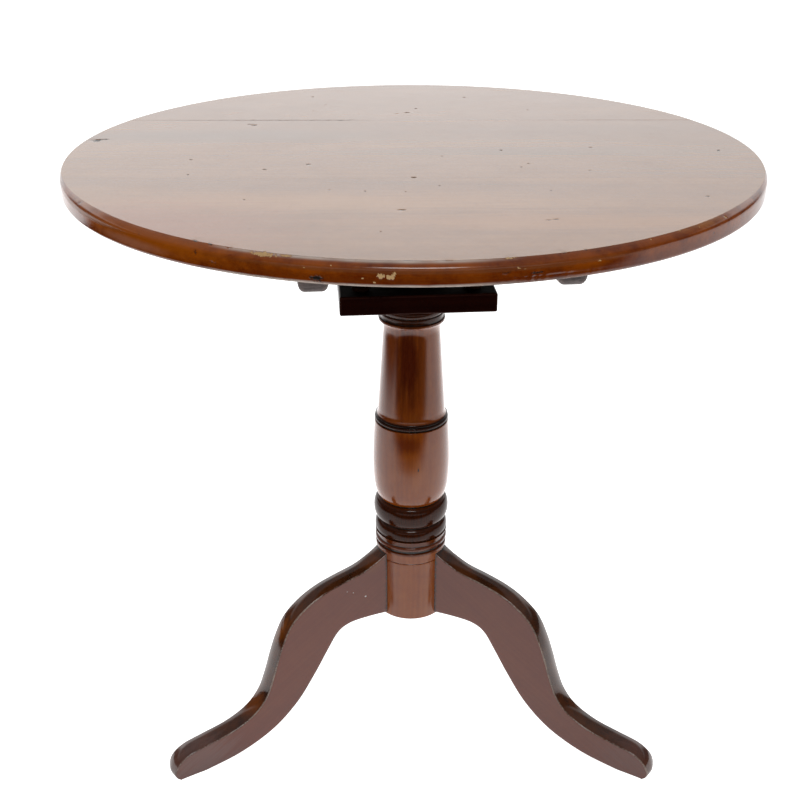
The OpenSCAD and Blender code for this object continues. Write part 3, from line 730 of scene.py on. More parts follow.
def put_attribute(mesh: Mesh, name: str, values: np.ndarray) -> None:
    """Keeps one value per vertex, a number or a vector, as a mesh attribute.

    Args:
        mesh: the mesh.
        name: the attribute's name.
        values: a row for each vertex.
    """
    flat = np.asarray(values, np.float32)
    kind = "FLOAT_VECTOR" if flat.ndim == 2 else "FLOAT"
    attribute = mesh.attributes.get(name) or mesh.attributes.new(name, kind, "POINT")
    attribute.data.foreach_set("vector" if flat.ndim == 2 else "value", flat.ravel())


def places_of(mesh: Mesh) -> np.ndarray:
    """Returns the places of a mesh's vertices, one row each.

    Args:
        mesh: the mesh.

    Returns:
        An array of X, Y and Z.
    """
    flat = np.zeros(len(mesh.vertices) * 3, np.float32)
    mesh.vertices.foreach_get("co", flat)
    return flat.reshape(-1, 3).astype(float)


def lay_grain(mesh: Mesh, fibre: Fibre, shift: float) -> None:
    """Keeps each vertex's place in the plank that the piece was cut from.

    Args:
        mesh: the piece's mesh, still in its own axes.
        fibre: which way the fibres run.
        shift: how far along the plank the piece was cut, so that no two pieces match.
    """
    grain = places_of(mesh)[:, fibre.value]
    put_attribute(mesh, "grain", grain + np.array([shift, 0.37 * shift, 0.0]))


def freeze(piece: Object) -> None:
    """Turns a piece and its modifiers into one plain mesh.

    Args:
        piece: the piece, whose mesh is replaced.
    """
    graph = bpy.context.evaluated_depsgraph_get()
    mesh = bpy.data.meshes.new_from_object(piece.evaluated_get(graph), preserve_all_data_layers=True,
                                           depsgraph=graph)
    piece.modifiers.clear()
    old = piece.data
    piece.data = mesh
    mesh.name = piece.name
    bpy.data.meshes.remove(old)


def face_outwards(mesh: Mesh, merge: float = 1e-6) -> None:
    """Merges doubles and turns all faces outwards.

    Args:
        mesh: the mesh, of closed shells.
        merge: how near doubles lie.
    """
    made = bmesh.new()
    made.from_mesh(mesh)
    bmesh.ops.remove_doubles(made, verts=made.verts, dist=merge)
    bmesh.ops.recalc_face_normals(made, faces=made.faces)
    made.to_mesh(mesh)
    made.free()


def shade(mesh: Mesh, sharpest: float) -> None:
    """Shades a mesh smooth, apart from edges sharper than an angle in degrees."""
    mesh.shade_smooth()
    mesh.set_sharp_from_angle(angle=math.radians(sharpest))


def dress(piece: Object, material: Material, slot: Slot, *nodes: str) -> None:
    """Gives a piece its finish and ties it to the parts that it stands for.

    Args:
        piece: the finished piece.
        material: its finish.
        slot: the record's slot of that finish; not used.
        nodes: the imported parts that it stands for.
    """
    piece.data.materials.clear()
    piece.data.materials.append(material)
    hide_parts(*nodes)
    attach(piece, frame["nodes"][nodes[0]]["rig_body"])
    log.info("%s stands for %s, %d faces", piece.name, ", ".join(nodes), len(piece.data.polygons))


class CageFrame:
    """The axes that the cage and the battens are square to, turned a little on the pillar."""

    def __init__(self) -> None:
        """Reads the turn from the tilting joint's axis."""
        tilt = next(joint for joint in frame["joints"] if joint["name"] == "top_tilt")
        self.turn = math.atan2(tilt["axis"][1], tilt["axis"][0])
        self.to_table = Matrix.Rotation(self.turn, 4, "Z")
        self.to_cage = Matrix.Rotation(-self.turn, 4, "Z")
        self.pintle = self.to_cage @ Vector(tilt["pos_m"])
        slide = next(joint for joint in frame["joints"] if joint["name"] == "catch_slide")
        self.bolt_travel = slide["range_m"][1]

    def box(self, node: str) -> tuple[Vector, Vector]:
        """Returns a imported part's lowest and highest corners, in the cage's axes."""
        places = self.places(frame["nodes"][node].data)
        return Vector(places.min(0)), Vector(places.max(0))

    def places(self, mesh: Mesh) -> np.ndarray:
        """Returns the places of a mesh's vertices in the cage's axes, one row each."""
        return places_of(mesh) @ np.array(self.to_cage.to_3x3()).T

    def axis(self, node: str) -> Point:
        """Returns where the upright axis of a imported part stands, in the table's axes.

        Args:
            node: the part.

        Returns:
            Its X and Y.
        """
        low, high = self.box(node)
        middle = self.to_table @ Vector(((low.x + high.x) / 2, (low.y + high.y) / 2, 0.0))
        return middle.x, middle.y


CAGE_AXES = CageFrame()
SHARP_TURNING = 40.0
Picker = Callable[[BMEdge], bool]


def on_planes(planes: Sequence[tuple[int, float]]) -> Picker:
    """Picks the edges that lie in at least two of some planes.

    Args:
        planes: each plane's axis number and its place on that axis.

    Returns:
        The test for an edge.
    """
    def pick(edge: BMEdge) -> bool:
        """Counts the planes that hold both ends of the edge."""
        held = [all(abs(vertex.co[axis] - at) < 0.02 * MM for vertex in edge.verts)
                for axis, at in planes]
        return sum(held) >= 2
    return pick


def box_edges(low: Vector, high: Vector) -> Picker:
    """Returns a test that picks the twelve edges of a box."""
    return on_planes([(axis, corner[axis]) for corner in (low, high) for axis in range(3)])


def eased_copy(node: str, name: str, pick: Picker, radius: float, fibre: Fibre = Fibre.ALONG_X,
               shift: float = 0.0, rounds: int = 3) -> Object:
    """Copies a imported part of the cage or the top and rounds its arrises.

    Args:
        node: the part.
        name: the new piece's name.
        pick: tells which edges are rounded, in the cage's axes.
        radius: how far the rounding reaches.
        fibre: which way the fibres run, in the cage's axes.
        shift: where along the plank the piece was cut.
        rounds: the number of faces across a rounding.

    Returns:
        The new piece.
    """
    mesh = frame["nodes"][node].data.copy()
    mesh.materials.clear()
    mesh.transform(CAGE_AXES.to_cage)
    made = bmesh.new()
    made.from_mesh(mesh)
    bmesh.ops.remove_doubles(made, verts=made.verts, dist=2e-6)
    bmesh.ops.dissolve_limit(made, angle_limit=math.radians(0.5), verts=made.verts, edges=made.edges)
    arris = made.faces.layers.float.new("arris")
    edges = [edge for edge in made.edges if edge.is_manifold and pick(edge)]
    result = bmesh.ops.bevel(made, geom=edges, offset=radius, offset_type="OFFSET", segments=rounds,
                             profile=0.5, affect="EDGES", clamp_overlap=True)
    for face in result["faces"]:
        face[arris] = 1.0
    bmesh.ops.recalc_face_normals(made, faces=made.faces)
    made.to_mesh(mesh)
    made.free()
    shade(mesh, 32.0)
    lay_grain(mesh, fibre, shift)
    mesh.transform(CAGE_AXES.to_table)
    piece = new_object(name, mesh)
    even = piece.modifiers.new("even normals", "WEIGHTED_NORMAL")
    even.keep_sharp = True
    freeze(piece)
    return piece


def prism(outline: Sequence[Point], low: float, high: float, place: Matrix) -> BMesh:
    """Extrudes a flat outline upwards.

    Args:
        outline: its points, in order.
        low: the height of its lower end.
        high: the height of its upper end.
        place: where it goes afterwards.

    Returns:
        The closed solid.
    """
    made = bmesh.new()
    rings = [[made.verts.new((x, y, z)) for x, y in outline] for z in (low, high)]
    made.faces.new(reversed(rings[0]))
    made.faces.new(rings[1])
    for i in range(len(outline)):
        j = (i + 1) % len(outline)
        made.faces.new((rings[0][i], rings[0][j], rings[1][j], rings[1][i]))
    made.transform(place)
    bmesh.ops.recalc_face_normals(made, faces=made.faces)
    return made


def join_into(mesh: Mesh, solids: Sequence[BMesh]) -> None:
    """Adds solids to a mesh as shells of their own.

    Args:
        mesh: the mesh that grows.
        solids: the solids, which are freed.
    """
    made = bmesh.new()
    made.from_mesh(mesh)
    for solid in solids:
        spare = bpy.data.meshes.new("spare")
        solid.to_mesh(spare)
        made.from_mesh(spare)
        bpy.data.meshes.remove(spare)
        solid.free()
    made.to_mesh(mesh)
    made.free()


def cut_from(piece: Object, solids: Sequence[BMesh]) -> None:
    """Cuts solids out of a piece.

    Args:
        piece: the piece.
        solids: the solids, which are freed.
    """
    cutters = new_object("cutters", bpy.data.meshes.new("cutters"))
    join_into(cutters.data, solids)
    cut = piece.modifiers.new("cut", "BOOLEAN")
    cut.operation = "DIFFERENCE"
    cut.solver = "EXACT"
    cut.object = cutters
    freeze(piece)
    bpy.data.objects.remove(cutters)


# Curves


def spline(knots: Sequence[Point], at: float) -> Point:
    """Returns the point of a smooth curve through all the knots.

    Args:
        knots: the points that it goes through.
        at: how far along it is, counted in knots from 0.

    Returns:
        The point.
    """
    last = len(knots) - 1
    i = min(int(at), last - 1)
    t = at - i
    a, b, c, d = (knots[min(max(k, 0), last)] for k in (i - 1, i, i + 1, i + 2))
    x, y = (0.5 * (2 * b[k] + (c[k] - a[k]) * t + (2 * a[k] - 5 * b[k] + 4 * c[k] - d[k]) * t * t
                   + (3 * b[k] - a[k] - 3 * c[k] + d[k]) * t ** 3) for k in (0, 1))
    return x, y


class Outline:
    """The outline of a turned piece, drawn upwards as radius and height in millimetres."""

    def __init__(self, radius: float, height: float) -> None:
        """Starts at one point."""
        self.points: list[Point] = [(radius, height)]

    def to(self, *points: Point) -> "Outline":
        """Goes straight to each point."""
        self.points.extend(points)
        return self

    def bead(self, radius: float, bulge: float, low: float, height: float, steps: int = 14) -> "Outline":
        """Turns a bead that stands out by bulge from a radius."""
        for k in range(steps + 1):
            angle = math.pi * k / steps
            self.points.append((radius + bulge * math.sin(angle),
                                low + height / 2 * (1 - math.cos(angle))))
        return self

    def hollow(self, start: Point, end: Point, steps: int = 10) -> "Outline":
        """Turns a quarter hollow from one point to another."""
        for k in range(steps + 1):
            angle = math.pi / 2 * k / steps
            self.points.append((start[0] + (end[0] - start[0]) * (1 - math.cos(angle)),
                                start[1] + (end[1] - start[1]) * math.sin(angle)))
        return self

    def curve(self, knots: Sequence[Point], steps: int = 8) -> "Outline":
        """Turns a smooth curve through some knots.

        Args:
            knots: the points that it goes through.
            steps: points to each knot.

        Returns:
            The outline.
        """
        count = (len(knots) - 1) * steps
        self.points.extend(spline(knots, k / steps) for k in range(count + 1))
        return self

    def eased(self, radius: float, closed: bool = False) -> "Outline":
        """Rounds the corners a little, as sanding and polish do.

        Args:
            radius: how far from a corner the rounding starts.
            closed: whether the outline ends where it starts.

        Returns:
            The eased outline.
        """
        least, least_bend = 0.01, 24.0
        tidy = [p for i, p in enumerate(self.points)
                if i == 0 or math.dist(p, self.points[i - 1]) > least]
        out = [tidy[0]]
        for before, here, after in zip(tidy, tidy[1:], tidy[2:]):
            a = Vector(before) - Vector(here)
            b = Vector(after) - Vector(here)
            bend = math.degrees(math.pi - a.angle(b))
            reach = min(radius, 0.45 * a.length, 0.45 * b.length)
            if bend < least_bend or here[0] < least:
                out.append(here)
                continue
            start, end = Vector(here) + a.normalized() * reach, Vector(here) + b.normalized() * reach
            for t in (0.0, 0.33, 0.67, 1.0):
                point = start * (1 - t) ** 2 + Vector(here) * 2 * t * (1 - t) + end * t * t
                out.append((point.x, point.y))
        out.append(out[0] if closed else tidy[-1])
        self.points = out
        return self

    def wear(self, window: float) -> tuple[np.ndarray, np.ndarray]:
        """Finds where the outline stands proud and where it lies deep.

        Args:
            window: how far along the outline a point is compared with its neighbours.

        Returns:
            An arris value and a hollow value for each point, from 0 to 1.
        """
        points = np.array(self.points)
        along = np.concatenate([[0], np.cumsum(np.hypot(*np.diff(points, axis=0).T))])
        step = 0.25
        fine = np.arange(0, along[-1], step)
        radius = np.interp(fine, along, points[:, 0])
        kernel = np.ones(max(3, int(window / step)))
        padded = np.pad(radius, len(kernel) // 2, mode="edge")
        mean = np.convolve(padded, kernel / len(kernel), mode="same")
        mean = mean[len(kernel) // 2:len(kernel) // 2 + len(radius)]
        proud = np.interp(along, fine, radius - mean)
        return np.clip(proud / 0.5 - 0.3, 0, 1), np.clip(-proud / 0.9, 0, 1)


# Geometry Nodes trees


def new_tree(title: str, inputs: dict[str, tuple[str, Any]]) -> tuple[NodeSheet, Any, Any]:
    """Starts a Geometry Nodes tree with a geometry input and output.

    Args:
        title: the tree's name.
        inputs: each further input's name, with its socket kind and its default.

    Returns:
        The sheet, the input sockets and the geometry output's socket.
    """
    tree = bpy.data.node_groups.new(title, "GeometryNodeTree")
    tree.is_modifier = True
    tree.interface.new_socket(name="Geometry", in_out="INPUT", socket_type="NodeSocketGeometry")
    for name, (kind, value) in inputs.items():
        socket = tree.interface.new_socket(name=name, in_out="INPUT", socket_type="NodeSocket" + kind)
        if value is not None:
            socket.default_value = value
    tree.interface.new_socket(name="Geometry", in_out="OUTPUT", socket_type="NodeSocketGeometry")
    sheet = NodeSheet(tree)
    return sheet, sheet.add("NodeGroupInput").outputs, sheet.add("NodeGroupOutput").inputs[0]


def end_tree(sheet: NodeSheet, solid: NodeSocket, finish: NodeSocket,
             result: NodeSocket) -> NodeTree:
    """Ends a tree in plain geometry with a finish.

    Args:
        sheet: the tree's sheet.
        solid: the geometry, which may hold instances.
        finish: the material.
        result: the tree's output socket.

    Returns:
        The tree.
    """
    solid = sheet.add("GeometryNodeRealizeInstances", {0: solid}).outputs[0]
    solid = sheet.add("GeometryNodeSetMaterial", {"Geometry": solid, "Material": finish}).outputs[0]
    sheet.feed(result, solid)
    return sheet.tree


def run_tree(piece: Object, tree: NodeTree, values: dict[str, Any]) -> None:
    """Runs a tree on a piece with its own values and keeps the plain mesh.

    Args:
        piece: the piece that the tree changes.
        tree: the Geometry Nodes tree.
        values: the values of its inputs, by name.
    """
    modifier = piece.modifiers.new("shape", "NODES")
    modifier.node_group = tree
    for item in tree.interface.items_tree:
        if item.item_type == "SOCKET" and item.in_out == "INPUT" and item.name in values:
            modifier[item.identifier] = values[item.name]
    freeze(piece)


@dataclass(frozen=True)
class ScrewSize:
    """The diameters of a wood screw's head and shank, and its length over all."""

    head_d: float
    shank_d: float
    length: float


class Workshop:
    """The Geometry Nodes trees of the shop: the lathe, the screws and the spring."""

    def __init__(self) -> None:
        """Builds each tree once."""
        self.lathe = self._lathe()
        self.screws = self._screws()
        self.spring = self._spring()

    def _lathe(self) -> NodeTree:
        """Turns a line of points, kept as radius and height, into a closed round shell.

        Returns:
            The tree.
        """
        sheet, given, result = new_tree(
            "lathe", {"Segments": ("Int", 96), "Centre": ("Vector", ORIGIN), "Finish": ("Material", None)})
        here = sheet.add("GeometryNodeInputPosition").outputs[0]
        count = sheet.add("GeometryNodeAttributeDomainSize", {0: given["Geometry"]}).outputs["Point Count"]
        grid = sheet.add("GeometryNodeMeshGrid",
                         {"Size X": 1.0, "Size Y": 1.0, "Vertices X": count,
                          "Vertices Y": sheet.plus(given["Segments"], 1.0)}).outputs["Mesh"]
        on_grid = sheet.split(here)
        row = sheet.math("ROUND", sheet.times(sheet.plus(on_grid["X"], 0.5), sheet.minus(count, 1.0)))
        turn = sheet.times(sheet.plus(on_grid["Y"], 0.5), 2 * math.pi)

        def on_line(value: NodeSocket, kind: str) -> NodeSocket:
            """Returns a value of the line's point that this row of the grid stands for."""
            return sheet.add("GeometryNodeSampleIndex",
                             {"Geometry": given["Geometry"], "Value": value, "Index": row},
                             data_type=kind).outputs[0]

        for name in ("arris", "hollow"):
            kept = sheet.add("GeometryNodeInputNamedAttribute", {"Name": name}, data_type="FLOAT")
            grid = sheet.add("GeometryNodeStoreNamedAttribute",
                             {"Geometry": grid, "Name": name, "Value": on_line(kept.outputs[0], "FLOAT")},
                             data_type="FLOAT").outputs[0]
        outline = sheet.split(on_line(here, "FLOAT_VECTOR"))
        round_place = sheet.join(sheet.times(outline["X"], sheet.math("COSINE", turn)),
                                 sheet.times(outline["X"], sheet.math("SINE", turn)), outline["Z"])
        shell = sheet.add("GeometryNodeSetPosition",
                          {"Geometry": grid,
                           "Position": sheet.vector("ADD", round_place, given["Centre"])}).outputs[0]
        shell = sheet.add("GeometryNodeMergeByDistance", {"Geometry": shell, "Distance": 2e-6}).outputs[0]
        return end_tree(sheet, shell, given["Finish"], result)

    def _screws(self) -> NodeTree:
        """Drives a slotted countersunk screw at each point, its slot turned at random.

        Returns:
            The tree.
        """
        sheet, given, result = new_tree(
            "driven screws",
            {"Head Diameter": ("Float", 0.009), "Shank Diameter": ("Float", 0.0045),
             "Length": ("Float", 0.03), "Slot Width": ("Float", 0.001), "Tilt": ("Vector", ORIGIN),
             "Seed": ("Int", 1), "Finish": ("Material", None)})
        head_r = sheet.math("DIVIDE", given["Head Diameter"], 2.0)
        shank_r = sheet.math("DIVIDE", given["Shank Diameter"], 2.0)
        head_h = sheet.minus(head_r, shank_r)
        head = sheet.add("GeometryNodeMeshCone",
                         {"Vertices": 28, "Radius Top": shank_r, "Radius Bottom": head_r,
                          "Depth": head_h}).outputs["Mesh"]
        inside = sheet.times(head_h, 0.5)
        shank = sheet.add("GeometryNodeMeshCone",
                          {"Vertices": 28, "Radius Top": sheet.times(shank_r, 0.8),
                           "Radius Bottom": sheet.times(shank_r, 0.98),
                           "Depth": sheet.minus(given["Length"], inside)}).outputs["Mesh"]
        shank = sheet.add("GeometryNodeTransform",
                          {"Geometry": shank, "Translation": sheet.join(z=inside)}).outputs[0]
        body = sheet.add("GeometryNodeMeshBoolean", operation="UNION")
        for part in (head, shank):
            sheet.feed(body.inputs["Mesh 2"], part)
        slot_size = sheet.join(sheet.times(given["Head Diameter"], 2.0), given["Slot Width"], head_h)
        slot = sheet.add("GeometryNodeMeshCube", {"Size": slot_size}).outputs["Mesh"]
        screw = sheet.add("GeometryNodeMeshBoolean", {"Mesh 1": body.outputs[0], "Mesh 2": slot},
                          operation="DIFFERENCE").outputs[0]
        spin = sheet.add("FunctionNodeRandomValue", {"Seed": given["Seed"]}, data_type="FLOAT")
        turn = sheet.join(z=sheet.times(spin.outputs[1], 2 * math.pi))
        row = sheet.add("GeometryNodeInstanceOnPoints",
                        {"Points": given["Geometry"], "Instance": screw,
                         "Rotation": sheet.rotation(turn)}).outputs[0]
        row = sheet.add("GeometryNodeTransform",
                        {"Geometry": row, "Rotation": sheet.rotation(given["Tilt"])}).outputs[0]
        return end_tree(sheet, row, given["Finish"], result)

    def _spring(self) -> NodeTree:
        """Winds a coil spring up from the origin.

        Returns:
            The tree.
        """
        sheet, given, result = new_tree(
            "coil spring",
            {"Coil Radius": ("Float", 0.002), "Wire Diameter": ("Float", 0.0008),
             "Length": ("Float", 0.015), "Turns": ("Float", 6.0), "Tilt": ("Vector", ORIGIN),
             "Place": ("Vector", ORIGIN), "Finish": ("Material", None)})
        line = sheet.add("GeometryNodeCurveSpiral",
                         {"Resolution": 24, "Rotations": given["Turns"],
                          "Start Radius": given["Coil Radius"], "End Radius": given["Coil Radius"],
                          "Height": given["Length"]}).outputs[0]
        wire = sheet.add("GeometryNodeCurvePrimitiveCircle",
                         {"Resolution": 10, "Radius": sheet.math("DIVIDE", given["Wire Diameter"], 2.0)})
        coil = sheet.add("GeometryNodeCurveToMesh",
                         {"Curve": line, "Profile Curve": wire.outputs[0], "Fill Caps": True}).outputs[0]
        coil = sheet.add("GeometryNodeTransform", {"Geometry": coil, "Translation": given["Place"],
                                                   "Rotation": sheet.rotation(given["Tilt"])}).outputs[0]
        return end_tree(sheet, coil, given["Finish"], result)

    def turn(self, name: str, outline: Outline, material: Material, segments: int,
             centre: Point = (0.0, 0.0), shift: float = 0.0) -> Object:
        """Turns a piece on the lathe.

        Args:
            name: the piece's name.
            outline: its outline.
            material: its finish.
            segments: how many faces go round it.
            centre: where its axis stands.
            shift: where along the plank it was cut.

        Returns:
            The piece, with its grain upright.
        """
        mesh = bpy.data.meshes.new(name)
        points = [(r * MM, 0.0, z * MM) for r, z in outline.points]
        mesh.from_pydata(points, [(i, i + 1) for i in range(len(points) - 1)], [])
        arris, hollow = outline.wear(7.0)
        put_attribute(mesh, "arris", arris)
        put_attribute(mesh, "hollow", hollow)
        piece = new_object(name, mesh)
        run_tree(piece, self.lathe, {"Segments": segments, "Centre": (*centre, 0.0), "Finish": material})
        face_outwards(piece.data)
        shade(piece.data, SHARP_TURNING)
        lay_grain(piece.data, Fibre.ALONG_Z, shift)
        return piece

    def drive(self, name: str, places: Sequence[Vector], material: Material,
              size: ScrewSize, seed: int, tilt: Matrix = Matrix.Identity(3)) -> Object:
        """Drives a row of screws in the cage's axes.

        Args:
            name: the piece's name.
            places: the middle of each head's face.
            material: the screws' finish.
            size: the size of each screw.
            seed: the seed of the slots' turns.
            tilt: the turn that takes upwards to the way they are driven.

        Returns:
            The row as one piece.
        """
        mesh = bpy.data.meshes.new(name)
        mesh.from_pydata([tilt.inverted() @ place for place in places], [], [])
        piece = new_object(name, mesh)
        run_tree(piece, self.screws,
                 {"Head Diameter": size.head_d, "Shank Diameter": size.shank_d,
                  "Length": size.length, "Slot Width": size.head_d / 7,
                  "Tilt": tuple(tilt.to_euler()), "Seed": seed, "Finish": material})
        face_outwards(piece.data)
        shade(piece.data, 35.0)
        piece.data.transform(CAGE_AXES.to_table)
        return piece


# The top


@dataclass(frozen=True)
class Pit:
    """A dent in the top's face: its place, half length along the boards, half width and depth."""

    x: float
    y: float
    half_length: float = 1.4
    half_width: float = 1.1
    depth: float = 0.5
    dirt: float = 1.0


@dataclass(frozen=True)
class Chip:
    """Wear on the rim: its middle as an angle and a way down round the rim, its half sizes, its
    depth, and how bare or dirty it is."""

    angle: float
    down: float
    half_length: float
    half_height: float
    depth: float
    bare: float = 0.0
    dirt: float = 0.0


PITS = (
    Pit(-342, 49.5, 6.5, 6.5, 1.0, 1.0), Pit(-335, 54, 7.0, 2.4, 0.6, 0.9), Pit(-185, 127, 4.0, 1.2, 0.5),
    Pit(-179, 123, 3.6, 2.4, 0.8), Pit(-122, 280, 2.0, 1.9), Pit(68, 277, 2.4, 1.8, 0.5, 0.8),
    Pit(6, 211, 2.2, 1.7), Pit(-4, 188, 4.5, 1.6), Pit(-17, 182, 2.6, 1.2, 0.3, 0.6),
    Pit(-103, 232, 1.6, 1.6, 0.3, 0.6), Pit(-116, 197, 1.4, 1.6, 0.3, 0.6),
    Pit(140, 202, 2.0, 1.6, 0.3, 0.5), Pit(93, 5, 2.0, 1.7), Pit(189, 17, 3.0, 2.2, 0.4, 0.5),
    Pit(-106, -53, 3.0, 1.5), Pit(-148, -73, 2.4, 1.3), Pit(-227, -34, 2.0, 1.4),
    Pit(-221, -94, 1.2, 1.8), Pit(0, -104, 3.6, 1.8, 0.7), Pit(117, -50, 1.8, 1.2),
    Pit(108, -65, 1.3, 1.4), Pit(-80, -149, 1.8, 2.8, 0.3, 0.6), Pit(-46, -153, 1.2, 1.8),
    Pit(-12, -214, 4.6, 1.6, 0.5), Pit(270, -171, 3.0, 2.0, 0.4, 0.8), Pit(175, -78, 2.6, 2.2, 0.3, 0.4),
    Pit(30, -21, 1.5, 1.8, 0.3, 0.6), Pit(128, -151, 1.0, 1.6, 0.3, 0.8), Pit(24, -134, 1.2, 1.5),
    Pit(-156, -181, 1.4, 1.3), Pit(115, -245, 3.0, 0.9, 0.3), Pit(122, -243, 3.2, 0.9, 0.3),
    Pit(-30, -277, 1.0, 1.6, 0.3, 0.7), Pit(322, 3, 2.0, 4.2, 0.6), Pit(-8, -155, 1.2, 1.4, 0.3, 0.6))

CHIPS = (
    Chip(-110.4, 0.0, 13.0, 3.0, 0.8, bare=1.0), Chip(-107.2, -1.2, 7.0, 1.6, 0.4, bare=0.8),
    Chip(-109.3, 2.8, 0.9, 1.0, 0.2, bare=0.9), Chip(-94.6, 12.0, 3.8, 2.6, 0.8, bare=1.0),
    Chip(-93.5, 13.2, 4.2, 2.8, 0.8, bare=1.0), Chip(-93.0, 10.6, 2.4, 2.4, 0.5, bare=1.0),
    Chip(-96.9, 14.4, 1.2, 0.9, 0.3, bare=0.7), Chip(-92.8, -4.2, 1.0, 0.9, 0.2, dirt=1.0),
    Chip(-121.2, -3.2, 4.5, 2.2, 0.5, dirt=0.9), Chip(-118.6, -2.4, 4.0, 2.0, 0.5, dirt=0.8),
    Chip(-115.6, -2.6, 5.0, 1.6, 0.4, dirt=0.5), Chip(-120.4, 8.0, 2.5, 3.4, 0.3, dirt=0.7),
    Chip(-117.6, 14.6, 5.0, 2.2, 0.5, dirt=0.5), Chip(-103.0, 16.8, 7.0, 3.4, 1.3, dirt=1.0),
    Chip(-77.9, -1.8, 6.5, 1.8, 0.4, bare=0.7), Chip(-77.2, 8.1, 3.0, 1.0, 0.2, bare=0.65),
    Chip(-76.4, 9.4, 2.2, 0.8, 0.2, bare=0.6), Chip(-70.5, -3.0, 5.4, 2.8, 0.6, dirt=0.6),
    Chip(-67.3, -2.4, 1.9, 1.3, 0.3, dirt=0.9), Chip(-50.9, -2.0, 1.8, 1.3, 0.3, bare=0.9),
    Chip(-47.0, 0.6, 1.0, 0.9, 0.2, bare=0.8), Chip(-40.2, 1.8, 1.9, 1.5, 0.3, bare=0.9),
    Chip(-44.1, 11.0, 1.3, 1.3, 0.2, dirt=0.9), Chip(-65.8, 9.8, 3.2, 0.9, 0.2, bare=0.6),
    Chip(-57.0, -1.0, 4.0, 1.2, 0.3, bare=0.6), Chip(-78.9, 11.5, 7.0, 1.6, 0.5, dirt=0.7),
    Chip(-74.6, 13.4, 8.0, 1.4, 0.6, dirt=0.8), Chip(-95.5, 17.6, 1.4, 1.0, 0.3, bare=0.8),
    Chip(-101.0, 5.0, 0.8, 0.8, 0.2, bare=0.8), Chip(-104.5, 8.5, 1.0, 0.9, 0.2, bare=0.75),
    Chip(-131.0, 5.0, 1.4, 1.2, 0.2, dirt=0.8), Chip(-86.0, -3.0, 6.0, 1.2, 0.3, dirt=0.5),
    Chip(-149.0, 1.2, 5.0, 1.6, 0.5, dirt=0.5), Chip(62.0, 1.9, 4.0, 1.5, 0.5, bare=0.5),
    Chip(118.0, 2.0, 6.0, 1.8, 0.5, dirt=0.6), Chip(171.0, 1.6, 4.0, 1.3, 0.4, bare=0.6),
    Chip(20.0, 14.0, 4.0, 1.8, 0.4, dirt=0.7), Chip(-8.0, 1.8, 5.0, 1.6, 0.5, dirt=0.5))


@dataclass(frozen=True)
class Lift:
    """A stretch where wear has lifted the rim's lower arris: its angle, its half width and how much."""

    angle: float
    half_width: float
    share: float


LIFTS = (Lift(-73.0, 7.5, 1.0), Lift(-101.0, 3.0, 0.45))


